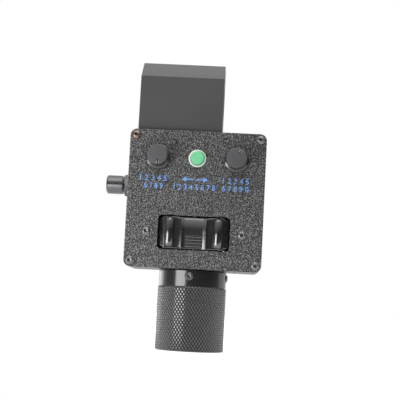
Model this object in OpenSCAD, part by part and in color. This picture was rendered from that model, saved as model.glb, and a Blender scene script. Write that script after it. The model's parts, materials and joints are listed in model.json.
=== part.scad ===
// Hand controller for a camera lens: a box with a zoom rocker, two knobs and a push button on its
// front plate, a third knob on its left wall, a knurled twist drum under it and a bar clamp above it.
// Millimetres. +Z is up, the front plate faces -Y and the origin is the middle of the clamp's bore.

/* [Box] */
// Width of the box and of its front plate
box_w = 92; // [90:1:110]
// Height of the box and of its front plate
box_h = 93; // [91:1:115]
// Depth of the box behind its front plate
box_d = 45; // [43:1:60]
// Thickness of the box walls
wall = 2.5; // [2:0.1:3]
// Corner radius of the box and of its front plate
corner_r = 4.5; // [4:0.1:6]
// Thickness of the front plate
plate_t = 3; // [2.5:0.1:3.5]
// Distance from the plate's edges to its corner screws
screw_inset = 4.2; // [4:0.1:5]
// Radius of the corner posts that take the plate screws
post_r = 4.4; // [4:0.1:5]
// Length of the plate screws under their heads
plate_screw_len = 12; // [9:0.5:16]

/* [Bar clamp] */
// Width of the clamp along the bar
clamp_w = 57; // [52:1:60]
// Radius of the bar that the clamp grips
bar_r = 12.7; // [11:0.1:13.5]
// Distance from the clamp's front face back to the bar's axis
clamp_front = 24; // [22:0.5:28]
// Distance from the bar's axis back to the clamp's rear face
clamp_back = 20; // [17:0.5:24]
// Height of the bar's axis above the box
clamp_below = 24; // [23:0.5:28]
// Height of the clamp's top above the bar's axis
clamp_above = 26; // [25:0.5:30]
// Height of the slanted edge at the front of the clamp
bevel_rise = 12.5; // [8:0.5:14]
// Depth of the slanted edge at the front of the clamp
bevel_run = 16; // [8:0.5:17]
// Distance of the clamp's middle to the left of the box's middle
clamp_left = 13; // [8:0.5:16]
// Distance from the face of the front plate back to the clamp's front face
clamp_set_back = 5; // [4:0.5:8]
// Gap between the two halves of the clamp
split_gap = 1; // [0.6:0.1:2]
// Distance of the clamp screws from the clamp's middle, along the bar
clamp_screw_x = 20; // [18:0.5:22]
// Distance of the clamp screws above and below the bar's axis
clamp_screw_z = 18.5; // [18:0.1:19]
// Thread radius of the clamp screws
clamp_screw_r = 2.5; // [2:0.1:2.5]
// Length of the clamp screws in the front half of the clamp
clamp_screw_grip = 12; // [8:0.5:13]
// Distance of the screws under the clamp from its middle, along the bar
foot_screw_x = 11; // [9:0.5:12]
// Distance from the clamp's front face to the first row of screws under it
foot_screw_row = 7; // [5:0.5:9]
// Distance between the two rows of screws under the clamp
foot_screw_pitch = 10; // [9:0.5:12]
// Thread radius of the screws under the clamp
foot_screw_r = 2; // [1.5:0.1:2.2]
// Length of the screws under the clamp in the clamp
foot_screw_grip = 7; // [5:0.5:8]

/* [Front knobs] */
// Height of the two knobs and the button above the plate's middle
control_z = 27.7; // [27:0.1:31]
// Distance of each front knob from the plate's middle
knob_x = 26.3; // [24:0.1:29]
// Radius of a front knob's barrel
knob_r = 6.8; // [6.6:0.1:7.5]
// Height of a front knob with its cap
knob_h = 12.6; // [11.5:0.1:16]
// Radius of the skirt at the foot of a front knob
skirt_r = 8.4; // [8:0.1:9]
// Height of the skirt of a front knob
skirt_h = 2.8; // [2.6:0.1:3.5]
// Thickness of the flat cap on a front knob
knob_cap_t = 1.4; // [1:0.1:2]
// Number of grooves round a front knob
knob_flutes = 24; // [16:1:30]
// Radius of those grooves
flute_r = 0.5; // [0.4:0.05:0.6]
// Direction of the left knob's pointer, anticlockwise from the right
left_pointer = 275; // [0:1:359]
// Direction of the right knob's pointer, anticlockwise from the right
right_pointer = 61; // [0:1:359]
// Width of a pointer line
pointer_w = 1; // [0.6:0.1:1.5]
// Length of a pointer line, in from the cap's edge
pointer_len = 3.4; // [2:0.1:5]

/* [Side knob] */
// Height of the side knob above the box's middle
side_z = 10.2; // [8:0.1:11]
// Radius of the side knob
side_knob_r = 6.5; // [5.6:0.1:7]
// Length of the side knob
side_knob_h = 11.2; // [10:0.1:16]
// Width of the side knob's nut across its flats
side_nut_af = 14.6; // [12:0.1:15]
// Thickness of the side knob's nut
side_nut_h = 4; // [2.5:0.1:4.5]
// Turn of that nut from corners up and down, in degrees
side_nut_turn = 20; // [0:1:59]
// Radius of the washer behind the side knob's nut
washer_r = 8.6; // [7.8:0.1:9]
// Thickness of that washer
washer_t = 0.9; // [0.6:0.1:1.2]

/* [Potentiometers] */
// Radius of a potentiometer's body
pot_r = 8.5; // [7.5:0.1:9]
// Depth of a potentiometer's body
pot_h = 9.5; // [8:0.1:10]
// Radius of a potentiometer's threaded neck
neck_r = 3.5; // [3.4:0.05:4]
// Radius of a potentiometer's shaft
shaft_r = 3; // [2.5:0.05:3.1]
// Width of a potentiometer's nut across its flats
pot_nut_af = 10; // [9.5:0.1:10.5]
// Thickness of a potentiometer's nut
pot_nut_h = 1.6; // [1.2:0.1:1.7]
// Length of the front knobs' shafts in front of the plate
shaft_out = 9.5; // [8:0.1:10]
// Width of a solder lug
lug_w = 1.6; // [1:0.1:2]

/* [Push button] */
// Radius of the green cap
button_r = 4.5; // [3.8:0.1:4.6]
// Height of the cap above the plate
button_out = 4.2; // [3.8:0.1:6]
// How far the button travels
button_travel = 2; // [1.5:0.1:2.2]
// Radius of the white ring round the cap
ring_r = 5.9; // [5.85:0.05:7]
// Height of the white ring above the plate
ring_h = 1.6; // [1.2:0.1:2]
// Radius of the button's threaded barrel
barrel_r = 5.6; // [5.5:0.05:5.8]
// Length of the barrel behind the plate's face
barrel_len = 13; // [12:0.5:16]
// Width of the barrel's nut across its flats
barrel_nut_af = 14; // [13:0.1:15]
// Side of the switch block behind the barrel
switch_w = 11; // [10:0.5:12]
// Depth of the switch block
switch_d = 8; // [6:0.5:10]

/* [Zoom rocker] */
// Width of the window that the rocker stands in
window_w = 48; // [46:0.5:52]
// Height of that window
window_h = 22.8; // [21:0.2:24]
// Corner radius of that window
window_r = 2.6; // [2:0.1:4]
// Depth of the window's middle below the plate's middle
rocker_down = 22.4; // [21.5:0.1:23]
// Gap above and below the rocker in its window
rocker_gap = 0.6; // [0.4:0.1:1]
// Gap at each end of the rocker, at the back of its window
rocker_end_gap = 0.6; // [0.3:0.1:1.5]
// Radius of the two upright humps
hump_r = 3.1; // [2.6:0.1:3.4]
// Distance of each hump from the rocker's middle
hump_x = 16.2; // [14.5:0.1:16.5]
// Height of the humps above the plate's face
hump_out = 6; // [5:0.1:8]
// Half width of the thumb rest between the humps
rest_half = 8.5; // [7:0.1:9]
// Height of the thumb rest's middle above the plate's face
rest_out = 0.8; // [0.4:0.1:1.5]
// Height of the thumb rest's two sides above its middle
rest_hollow = 1; // [0.6:0.1:1.4]
// Radius of the curve up to those sides
rest_side_r = 4.4; // [3:0.1:5]
// Rounding of the thumb rest's upper edge
rest_round = 4.4; // [2:0.1:5]
// Number of ribs across the lower half of the thumb rest
rest_ribs = 4; // [2:1:5]
// Radius of those ribs
rib_r = 0.5; // [0.3:0.05:0.6]
// Depth of the rocker's bar behind the plate's face
bar_back = 4.5; // [4:0.1:5]
// Depth of the rocker's pivot behind the plate's face
pivot_depth = 9.5; // [9:0.1:10]
// Radius of the pivot pin
pivot_r = 1.5; // [1.2:0.1:1.8]
// Radius of the rocker's lug round the pin
lug_r = 3.8; // [3:0.1:4]
// How far the rocker tilts each way, in degrees
rocker_tilt = 10; // [6:1:12]
// Distance of the rocker screws from the plate's middle
rocker_screw_x = 32; // [31:0.1:34]
// Thickness of the frame's flange behind the plate
flange_t = 2.5; // [2:0.1:3]
// Thickness of the frame's cheeks that hold the pin
cheek_t = 3.2; // [2.5:0.1:3.5]
// Depth of the frame's back bridge behind the plate's face
bridge_depth = 17; // [16.5:0.1:19]
// Thickness of the frame's back bridge and its two posts
bridge_t = 2; // [1.5:0.1:3]
// Distance of the return springs from the rocker's middle
spring_x = 12.5; // [11:0.1:14]
// Mean radius of the return springs
spring_r = 2.3; // [2:0.1:2.6]
// Wire radius of the return springs
spring_wire_r = 0.35; // [0.25:0.05:0.4]
// Side of the tilt sensor on the upper cheek
sensor_w = 9; // [8:0.2:10]
// Height of the tilt sensor
sensor_h = 6; // [4:0.2:8]

/* [Focus drum] */
// Radius over the knurled grip
drum_r = 23.3; // [21:0.1:24]
// Radius of the smooth collar above the grip
collar_r = 23; // [20:0.1:23.2]
// Height of the smooth collar
collar_h = 10.9; // [10:0.1:14]
// Length of the knurled grip
grip_h = 43; // [35:0.5:110]
// Thickness of the drum's wall
drum_wall = 4.2; // [3:0.1:6]
// Depth of the solid hub at the top of the drum
hub_h = 16; // [13:0.1:20]
// Depth of the drum's screws below the box
drum_screw_down = 4.6; // [4.5:0.1:6]
// Turn of the drum's screws from the front and the right, in degrees
drum_screw_turn = -4; // [-45:1:45]
// Thickness of the end cap
end_cap_t = 4; // [3:0.1:6]
// Width of the ledge that the end cap sits on
cap_ledge = 0.8; // [0.5:0.1:1.5]
// Length of the shaft below the box
drum_shaft_out = 13; // [11:0.1:15]

/* [Board and socket] */
// Width of the circuit board
board_w = 64; // [56:1:64]
// Height of the circuit board
board_h = 52; // [46:1:52]
// Thickness of the circuit board
board_t = 1.6; // [1:0.1:2]
// Height of the board's middle above the box's middle
board_z = 10; // [9:0.5:12]
// Distance from the board's edges to its screws
board_inset = 4; // [3.6:0.1:5]
// Length of the board's stand-offs
standoff_h = 6; // [5:0.5:8]
// Distance from the box's right side to the lead socket's middle
socket_from_side = 22; // [19:0.5:24]
// Distance from the box's bottom to the lead socket's middle
socket_from_bottom = 15.5; // [15:0.1:16.5]
// Radius of the plug that the lead socket takes
plug_r = 6.6; // [6:0.1:6.8]
// Thickness of the lead socket's sleeve
sleeve_t = 1.5; // [1.2:0.1:1.8]
// Length of the sleeve behind the flange
sleeve_h = 8; // [7:0.1:10]
// Width of the lead socket's flange
socket_flange_w = 23; // [22.5:0.1:24]
// Thickness of the lead socket's flange
socket_flange_t = 2.2; // [1.5:0.1:3]
// Depth of the lead socket inside the box
socket_in = 8; // [6:0.5:8]
// Distance of the lead socket's screws from its axis, each way
socket_screw_x = 8.8; // [8.6:0.1:9]
// Thread radius of the lead socket's screws
socket_screw_r = 1.1; // [1:0.1:1.2]
// Number of contacts round the middle one
contacts = 6; // [4:1:8]
// Depth of the headers on the board
header_d = 3; // [2:0.1:4]
// Radius of the leads between the controls and the board
lead_r = 1.1; // [0.8:0.1:1.3]

/* [Fasteners and clearances] */
// Thread radius of the small screws
screw_r = 1.5; // [1.3:0.1:1.6]
// Play of a screw in a clearance hole
screw_play = 0.2; // [0.1:0.05:0.3]
// Gap round a thread in the hole that holds it
thread_gap = 0.05; // [0.02:0.01:0.08]
// Gap round a shaft or pin that turns
run_gap = 0.05; // [0.03:0.01:0.1]
// Gap round a piece that is pressed in
press_gap = 0.02; // [0.01:0.01:0.04]
// Gap between a knob or the drum and what it turns against
turn_gap = 0.6; // [0.4:0.1:1]
// Gap round a spring and at its ends
spring_gap = 0.2; // [0.1:0.05:0.3]
// Gap round a hollow that clears a nut or a shaft's end
clear_gap = 0.4; // [0.3:0.1:0.6]

/* [Hidden] */
$fn = 64;
cut = 0.5;
// How far a raised piece runs into what it stands on, and how far a screw or its hole runs on
root = 1;
screw_over = 1;
hole_over = 1.5;

panel_pos = [clamp_left, -(clamp_set_back + clamp_front), -(box_h / 2 + clamp_below)];
back_y = plate_t + box_d;
mid_y = back_y / 2;
inner_r = corner_r - wall / 2;
screw_xs = [for (side = [-1, 1]) side * (box_w / 2 - screw_inset)];
screw_zs = [for (side = [-1, 1]) side * (box_h / 2 - screw_inset)];

// A button-head screw has a head 1.9 times as wide as its thread and 0.55 times as high
function head_r(r) = 1.9 * r;
function head_h(r) = 1.1 * r;
function hex_r(af) = af / 2 / cos(30);
function unit(v) = v / norm(v);

// The triangles of a tube whose rings of points follow each other, with an end face at each end
function tube_faces(rings, sides) = concat(
    [for (i = [0:rings - 1], k = [0:sides - 1], half = [0, 1])
        let (a = i * sides + k, b = i * sides + (k + 1) % sides)
        half == 0 ? [a, b, b + sides] : [a, b + sides, a + sides]],
    [[for (k = [sides - 1:-1:0]) k], [for (k = [0:sides - 1]) rings * sides + k]]
);

// Knobs and potentiometers: a neck stands a little past its nut, and a knob is solid at its end
neck_over = 0.5;
neck_end = pot_nut_h + neck_over;
nut_recess_r = hex_r(pot_nut_af) + clear_gap;
nut_recess_end = neck_end + clear_gap;
knob_foot = turn_gap;
knob_top = knob_foot + knob_h;
skirt_edge = 0.6;
flute_foot = 0.4;
cap_edge = 0.4;
cap_plug_r = 3.5;
cap_plug_h = 1.2;
pointer_depth = 0.3;
side_knob_end = 2;
side_knob_edge = 1;
side_neck_end = washer_t + side_nut_h + neck_over;
side_knob_foot = washer_t + side_nut_h + turn_gap;
side_shaft_out = side_knob_foot + side_knob_h - side_knob_end;
pot_floor = 1.5;
lug_len = 3.5;
lug_root = 4;
lug_t = 0.6;
lug_pitch = 5;

// Push button: a collar keeps the cap in its barrel, and a ring on the switch ends its travel
barrel_wall = 0.7;
button_edge = 0.6;
button_collar_r = barrel_r - barrel_wall;
button_collar_h = 2.5;
collar_front = plate_t + button_edge;
collar_back = collar_front + button_collar_h;
button_stop = collar_back + button_travel + clear_gap;
button_spring_turns = 4;
button_spring_wire_r = 0.35;
button_spring_r = button_r - 2 * button_spring_wire_r - spring_gap;

// Rocker: the ends of its bar are arcs round the pivot, so that they keep their gap as it tilts, and
// ledges on the frame stop them
spring_turns = 6;
rocker_h = window_h - 2 * rocker_gap;
rocker_reach = norm([window_w / 2 - rocker_end_gap, pivot_depth - plate_t]);
rocker_half = sqrt(pow(rocker_reach, 2) - pow(pivot_depth - bar_back, 2));
rocker_z = -rocker_down;
rocker_corner_r = window_r + 2 * rocker_gap;
bar_front = 0.4;
hump_inset = 0.5;
hump_half = rocker_h / 2 - hump_inset;
stem_inset = 0.15;
rest_rim = 0.5;
rest_flat = rest_half - rest_rim - sqrt(pow(rest_side_r, 2) - pow(rest_side_r - rest_hollow, 2));
rest_inset = 0.3;
frame_margin = 1.5;
frame_open_w = window_w + 2 * frame_margin;
frame_open_h = window_h + frame_margin;
frame_w = 2 * (rocker_screw_x + head_r(screw_r) + frame_margin);
frame_h = frame_open_h + 2 * cheek_t;
cheek_half = 7;
cheek_y = pivot_depth + pivot_r + cheek_t;
bridge_h = 18;
lug_inset = 2;
lug_h = rocker_h - 2 * lug_inset;
pin_low = frame_h / 2;
sensor_roof = 1;
pin_high = frame_h / 2 + sensor_h - sensor_roof;
boss_r = spring_r - spring_wire_r - spring_gap;
boss_h = 2;
end_swing = rocker_half * sin(rocker_tilt) - (pivot_depth - bar_back) * cos(rocker_tilt);
stop_y = pivot_depth + end_swing + clear_gap;
stop_t = 2;
stop_h = 8;
stop_reach = 1.5;
rib_end = 1;

// Focus drum: flats sunk in its collar seat the screw heads
cavity_r = drum_r - drum_wall;
cap_seat_r = cavity_r + cap_ledge;
drum_top = -turn_gap;
grip_top = drum_top - collar_h;
drum_end = grip_top - grip_h;
drum_seat_sink = 0.2;
drum_head_seat = sqrt(pow(collar_r, 2) - pow(head_r(screw_r) + screw_play, 2)) - drum_seat_sink;
end_cap_edge = 0.8;

// Board and lead socket
standoff_af = 4 * screw_r;
standoff_grip = standoff_h / 3;
standoff_x = board_w / 2 - board_inset;
standoff_z = board_h / 2 - board_inset;
board_back = back_y - wall - standoff_h;
board_front = board_back - board_t;

socket_x = box_w / 2 - socket_from_side;
socket_z = socket_from_bottom - box_h / 2;
socket_corner_r = 2;
contact_r = 0.6;
contact_ring = plug_r * 0.6;

// The chips on the board: widths and heights of the main one, the two beside it and the two small ones
chip_t = 1.5;
main_chip_w = 14;
main_chip_h = 10;
side_chip_w = 8;
side_chip_h = 6;
small_chip_w = 5;
small_chip_h = 4;

// The headers' middles as shares of the board's half width and half height: one for each of the left
// knob, the right knob, the button, the side knob, the focus drum, the rocker and the lead socket
header_places = [
    [-0.62, 0.54], [0.62, 0.54], [0, 0.7], [-0.81, -0.54], [-0.37, -0.7], [0, -0.7], [0.37, -0.7]
];
headers = [for (place = header_places) [place[0] * board_w / 2, place[1] * board_h / 2]];
header_w = 6;
header_h = 4;
lead_gap = 0.1;
// How far a lead runs straight on before it bends: from a tight place, a middling one or an open one
tight_bend = 3;
middle_bend = 7;
wide_bend = 12;
lug_end = pot_r + lug_len + lead_gap;

black = "#1d1e20";
paint = "#3a3c3e";
steel = "#8d9094";
dark_steel = "#303236";
brass = "#b58c45";
board_green = "#1f5b3a";

// Places: each puts its children on one face of the box, with +Z pointing out of that face

module at_panel() {
    translate(panel_pos) children();
}

module on_front(x, z, y = 0) {
    at_panel() translate([x, y, z]) rotate([90, 0, 0]) children();
}

module on_left() {
    at_panel() translate([-box_w / 2, mid_y, side_z]) rotate([0, -90, 0]) children();
}

module on_back(x, z, y = back_y) {
    at_panel() translate([x, y, z]) rotate([-90, 0, 0]) children();
}

module under_box() {
    at_panel() translate([0, mid_y, -box_h / 2]) children();
}

module at_plate_corners() {
    for (x = screw_xs, z = screw_zs) on_front(x, z) children();
}

module at_rocker_screws() {
    for (side = [-1, 1]) on_front(side * rocker_screw_x, rocker_z) children();
}

module at_clamp_screws() {
    for (x = [-1, 1], z = [-1, 1])
        translate([x * clamp_screw_x, clamp_back, z * clamp_screw_z]) rotate([-90, 0, 0]) children();
}

module at_foot_screws() {
    for (side = [-1, 1], row = [0, 1])
        let (y = foot_screw_row + row * foot_screw_pitch - clamp_front)
            translate([side * foot_screw_x, y, -clamp_below - wall]) rotate([180, 0, 0]) children();
}

module at_standoffs(y) {
    for (x = [-1, 1], z = [-1, 1]) on_back(x * standoff_x, board_z + z * standoff_z, y) children();
}

module at_socket_screws() {
    for (x = [-1, 1], z = [-1, 1])
        on_back(socket_x + x * socket_screw_x, socket_z + z * socket_screw_x) children();
}

module at_drum_screws() {
    for (turn = [-90, 0])
        under_box() rotate([0, 0, turn + drum_screw_turn]) translate([0, 0, -drum_screw_down])
            rotate([0, 90, 0]) children();
}

// Shapes that repeat

module rounded_rect(w, h, r) {
    square([w - 2 * r, h], center = true);
    square([w, h - 2 * r], center = true);
    for (x = [-1, 1], y = [-1, 1]) translate([x * (w / 2 - r), y * (h / 2 - r)]) circle(r);
}

// A rounded slab that lies in the panel's plane, from front to back
module slab(w, h, r, front, back) {
    on_front(0, 0, back) linear_extrude(back - front) rounded_rect(w, h, r);
}

// A hole or a rod along the local Z axis, between two heights
module rod(r, low, high) {
    translate([0, 0, low]) cylinder(r = r, h = high - low);
}

module hex_nut(af, hole_r, low, high) {
    difference() {
        translate([0, 0, low]) cylinder(r = hex_r(af), h = high - low, $fn = 6);
        rod(hole_r, low - cut, high + cut);
    }
}

// A domed screw with a hex socket: the head stands on Z = 0 and the thread goes down
module button_screw(r, len) {
    rim = head_h(r) / 4;
    key_af = 1.3 * r;
    dome = head_h(r) - rim;
    dome_r = (pow(head_r(r), 2) + pow(dome, 2)) / (2 * dome);
    dome_angle = asin(head_r(r) / dome_r);
    steps = 6;
    arc = [for (i = [0:steps - 1]) let (a = dome_angle * (1 - i / steps))
        [dome_r * sin(a), head_h(r) - dome_r + dome_r * cos(a)]];
    difference() {
        union() {
            rod(r, -len, rim);
            rotate_extrude() polygon(concat([[0, 0], [head_r(r), 0]], arc, [[0, head_h(r)]]));
        }
        translate([0, 0, rim]) cylinder(r = hex_r(key_af), h = head_h(r), $fn = 6);
    }
}

// A coil of round wire along Z, as one unbroken tube
module coil(mean_r, wire_r, h, turns) {
    per_turn = 8;
    sides = 6;
    rings = turns * per_turn;
    climb = h - 2 * wire_r;
    points = [for (i = [0:rings], k = [0:sides - 1])
        let (a = 360 * i / per_turn, b = 360 * k / sides, reach = mean_r + wire_r * cos(b))
        [reach * cos(a), reach * sin(a), wire_r + climb * i / rings + wire_r * sin(b)]];
    polyhedron(points = points, faces = tube_faces(rings, sides));
}

// A lead as one tube on a smooth curve: it sets out along one step and comes in along another
module lead(start, leave, end, arrive) {
    rings = 10;
    sides = 6;
    aside = [1, -1, 1];
    first = start + leave;
    second = end - arrive;
    points = [for (i = [0:rings])
        let (t = i / rings, u = 1 - t,
            middle = u * u * u * start + 3 * u * u * t * first + 3 * u * t * t * second + t * t * t * end,
            along = u * u * leave + 2 * u * t * (second - first) + t * t * arrive,
            across = unit(cross(along, aside)),
            other = unit(cross(across, along)))
        for (k = [0:sides - 1])
            middle + lead_r * (cos(360 * k / sides) * across + sin(360 * k / sides) * other)];
    polyhedron(points = points, faces = tube_faces(rings, sides));
}

// A potentiometer on a wall: Z = 0 is the wall's outer face, and the body lies behind the wall
module pot(wall_t, neck_top) {
    difference() {
        union() {
            rod(pot_r, -wall_t - pot_h, -wall_t);
            rod(neck_r, -wall_t - root, neck_top);
            for (i = [-1, 0, 1])
                translate([i * lug_pitch - lug_w / 2, -pot_r - lug_len, -wall_t - pot_h / 2])
                    cube([lug_w, lug_len + lug_root, lug_t]);
        }
        rod(shaft_r + run_gap, pot_floor - wall_t - pot_h, neck_top + cut);
    }
}

module pot_shaft(wall_t, out) {
    rod(shaft_r, pot_floor + clear_gap - wall_t - pot_h, out);
}

module flutes(r, low, high) {
    flute_out = flute_r / 3;
    for (i = [0:knob_flutes - 1])
        rotate(360 * i / knob_flutes) translate([r + flute_out, 0, 0]) rod(flute_r, low, high, $fn = 24);
}

module front_knob(x) {
    on_front(x, control_z) difference() {
        union() {
            rod(skirt_r, knob_foot, knob_foot + skirt_h - skirt_edge);
            translate([0, 0, knob_foot + skirt_h - skirt_edge])
                cylinder(r1 = skirt_r, r2 = skirt_r - skirt_edge, h = skirt_edge);
            rod(knob_r, knob_foot, knob_top - knob_cap_t);
        }
        rod(cap_plug_r + press_gap, knob_top - knob_cap_t - cap_plug_h, knob_top);
        flutes(knob_r, knob_foot + skirt_h + flute_foot, knob_top);
        rod(nut_recess_r, 0, nut_recess_end);
        rod(shaft_r + press_gap, 0, shaft_out + clear_gap);
    }
}

module front_knob_cap(x, pointer) {
    on_front(x, control_z) difference() {
        union() {
            rod(knob_r, knob_top - knob_cap_t, knob_top - cap_edge);
            translate([0, 0, knob_top - cap_edge])
                cylinder(r1 = knob_r, r2 = knob_r - cap_edge, h = cap_edge);
            rod(cap_plug_r, knob_top - knob_cap_t - cap_plug_h, knob_top - cap_edge);
        }
        flutes(knob_r, knob_top - knob_cap_t - cut, knob_top + cut);
        rotate(pointer) translate([knob_r - pointer_len, -pointer_w / 2, knob_top - pointer_depth])
            cube([pointer_len + cut, pointer_w, pointer_depth + cut]);
    }
}

module front_pot(x) {
    on_front(x, control_z) pot(plate_t, neck_end);
}

module front_pot_nut(x) {
    on_front(x, control_z) hex_nut(pot_nut_af, neck_r + thread_gap, 0, pot_nut_h);
}

module front_shaft(x) {
    on_front(x, control_z) pot_shaft(plate_t, shaft_out);
}

// Box

module box_body() {
    color(paint) difference() {
        union() {
            difference() {
                slab(box_w, box_h, corner_r, plate_t, back_y);
                slab(box_w - 2 * wall, box_h - 2 * wall, inner_r, plate_t - cut, back_y - wall);
            }
            intersection() {
                slab(box_w, box_h, corner_r, plate_t, back_y);
                at_plate_corners() rod(post_r, -back_y, -plate_t);
            }
        }
        at_plate_corners() rod(screw_r + thread_gap, -plate_screw_len - hole_over, 0);
        on_left() rod(neck_r + screw_play, -wall - cut, cut);
        under_box() rod(neck_r + screw_play, -cut, wall + cut);
        at_foot_screws() rod(foot_screw_r + screw_play, -wall - cut, cut);
        at_standoffs(back_y) rod(screw_r + screw_play, -wall - cut, cut);
        on_back(socket_x, socket_z) rod(plug_r + sleeve_t + screw_play, -wall - cut, cut);
        at_socket_screws() rod(socket_screw_r + thread_gap, -wall - cut, cut);
    }
}

module front_plate() {
    color(paint) difference() {
        slab(box_w, box_h, corner_r, 0, plate_t);
        on_front(0, rocker_z, plate_t + cut) linear_extrude(plate_t + 2 * cut)
            rounded_rect(window_w, window_h, window_r);
        at_plate_corners() rod(screw_r + screw_play, -plate_t - cut, cut);
        at_rocker_screws() rod(screw_r + screw_play, -plate_t - cut, cut);
        for (x = [-knob_x, knob_x]) on_front(x, control_z) rod(neck_r + screw_play, -plate_t - cut, cut);
        on_front(0, control_z) rod(barrel_r + screw_play, -plate_t - cut, cut);
    }
}

module plate_screws() {
    color(dark_steel) at_plate_corners() button_screw(screw_r, plate_screw_len);
}

// Bar clamp

module clamp_prism(outline) {
    rotate([90, 0, 90]) translate([0, 0, -clamp_w / 2]) linear_extrude(clamp_w) polygon(outline);
}

module bar_hole() {
    rotate([0, 90, 0]) rod(bar_r, -clamp_w, clamp_w);
}

module clamp_block() {
    split = -split_gap / 2;
    clamp_hole = clamp_back + clamp_screw_grip + hole_over;
    foot_hole = wall + foot_screw_grip + hole_over;
    color(paint) difference() {
        clamp_prism([
            [-clamp_front, -clamp_below],
            [split, -clamp_below],
            [split, clamp_above],
            [bevel_run - clamp_front, clamp_above],
            [-clamp_front, clamp_above - bevel_rise]
        ]);
        bar_hole();
        at_clamp_screws() rod(clamp_screw_r + thread_gap, -clamp_hole, -clamp_back + cut);
        at_foot_screws() rod(foot_screw_r + thread_gap, -foot_hole, -wall + cut);
    }
}

module clamp_cap() {
    split = split_gap / 2;
    foot = split_gap - clamp_below;
    slant = 3;
    color(paint) difference() {
        clamp_prism([
            [split, foot],
            [clamp_back - slant, foot],
            [clamp_back, foot + slant],
            [clamp_back, clamp_above - slant],
            [clamp_back - slant, clamp_above],
            [split, clamp_above]
        ]);
        bar_hole();
        at_clamp_screws() rod(clamp_screw_r + screw_play, -clamp_back, cut);
    }
}

module clamp_screws() {
    color(steel) at_clamp_screws() button_screw(clamp_screw_r, clamp_back + clamp_screw_grip);
}

module foot_screws() {
    color(steel) at_foot_screws() button_screw(foot_screw_r, wall + foot_screw_grip);
}

// Zoom rocker

// A bar across the window whose ends are arcs round the pivot
module rocker_bar() {
    intersection() {
        translate([0, bar_back, 0]) rotate([90, 0, 0]) linear_extrude(bar_back - bar_front)
            rounded_rect(2 * rocker_half, rocker_h, rocker_corner_r);
        translate([0, pivot_depth, 0]) rod(rocker_reach, -rocker_h, rocker_h);
    }
}

// An upright pill on a stem
module rocker_hump() {
    steps = 6;
    end = [for (i = [0:steps]) let (a = 90 * i / steps)
        [hump_r * cos(a), hump_half - hump_r + hump_r * sin(a)]];
    foot = [for (i = [steps:-1:0]) [end[i][0], -end[i][1]]];
    stem_r = hump_r - stem_inset;
    translate([0, hump_r - hump_out, 0]) rotate_extrude() polygon(concat(foot, end));
    translate([0, bar_front + root, 0]) rotate([90, 0, 0])
        linear_extrude(bar_front + root + hump_out - hump_r)
            rounded_rect(2 * stem_r, 2 * (hump_half - stem_inset), stem_r - stem_inset);
}

// A block with a hollow across it, rounded at its upper edge
module thumb_rest() {
    front = -rest_out - rest_hollow;
    half = rocker_h / 2 - rest_inset;
    difference() {
        rotate([90, 0, 90]) translate([0, 0, -rest_half]) linear_extrude(2 * rest_half) {
            translate([front, -half]) square([bar_front + root - front, 2 * half - rest_round]);
            translate([front + rest_round, half - rest_round]) circle(rest_round);
        }
        translate([0, 0, -rocker_h]) linear_extrude(2 * rocker_h) {
            translate([-rest_flat, -rest_out - 2 * rest_side_r]) square([2 * rest_flat, 2 * rest_side_r]);
            for (side = [-1, 1]) translate([side * rest_flat, -rest_out - rest_side_r]) circle(rest_side_r);
        }
    }
}

module zoom_rocker() {
    color(black) at_panel() translate([0, 0, rocker_z]) difference() {
        union() {
            rocker_bar();
            for (side = [-1, 1]) translate([side * hump_x, 0, 0]) rocker_hump();
            thumb_rest();
            for (i = [1:rest_ribs])
                translate([0, -rest_out, -i * rocker_h / 2 / (rest_ribs + 1)]) rotate([0, 90, 0])
                    rod(rib_r, rib_end - rest_half, rest_half - rib_end);
            translate([-lug_r, bar_back - root, -lug_h / 2])
                cube([2 * lug_r, pivot_depth - bar_back + root, lug_h]);
            translate([0, pivot_depth, 0]) rod(lug_r, -lug_h / 2, lug_h / 2);
            for (side = [-1, 1])
                translate([side * spring_x, bar_back, 0]) rotate([-90, 0, 0]) rod(boss_r, -root, boss_h);
        }
        translate([0, pivot_depth, 0]) rod(pivot_r + press_gap, -rocker_h, rocker_h);
    }
}

module rocker_pin() {
    color(steel) at_panel() translate([0, pivot_depth, rocker_z]) rod(pivot_r, -pin_low, pin_high);
}

module rocker_frame() {
    post_x = frame_open_w / 2;
    stop_x = rocker_half - stop_reach;
    color(black) difference() {
        union() {
            on_front(0, rocker_z, plate_t + flange_t) linear_extrude(flange_t)
                square([frame_w, frame_h], center = true);
            at_panel() translate([0, 0, rocker_z]) {
                for (side = [-1, 1]) {
                    translate([-cheek_half, plate_t, side > 0 ? frame_h / 2 - cheek_t : -frame_h / 2])
                        cube([2 * cheek_half, cheek_y - plate_t, cheek_t]);
                    translate([side > 0 ? post_x : -post_x - bridge_t, plate_t, -bridge_h / 2])
                        cube([bridge_t, bridge_depth + bridge_t - plate_t, bridge_h]);
                    translate([side * spring_x, bridge_depth - boss_h, 0]) rotate([-90, 0, 0])
                        rod(boss_r, 0, boss_h + bridge_t / 2);
                    translate([side > 0 ? stop_x : -post_x - bridge_t, stop_y, -stop_h / 2])
                        cube([post_x + bridge_t - stop_x, stop_t, stop_h]);
                }
                translate([-post_x - bridge_t, bridge_depth, -bridge_h / 2])
                    cube([2 * (post_x + bridge_t), bridge_t, bridge_h]);
            }
        }
        on_front(0, rocker_z, plate_t + flange_t + cut) linear_extrude(flange_t + 2 * cut)
            square([frame_open_w, frame_open_h], center = true);
        at_rocker_screws() rod(screw_r + thread_gap, -plate_t - flange_t - cut, 0);
        at_panel() translate([0, pivot_depth, rocker_z]) rod(pivot_r + run_gap, -frame_h, frame_h);
    }
}

module rocker_screws() {
    color(dark_steel) at_rocker_screws() button_screw(screw_r, plate_t + flange_t + screw_over);
}

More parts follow.
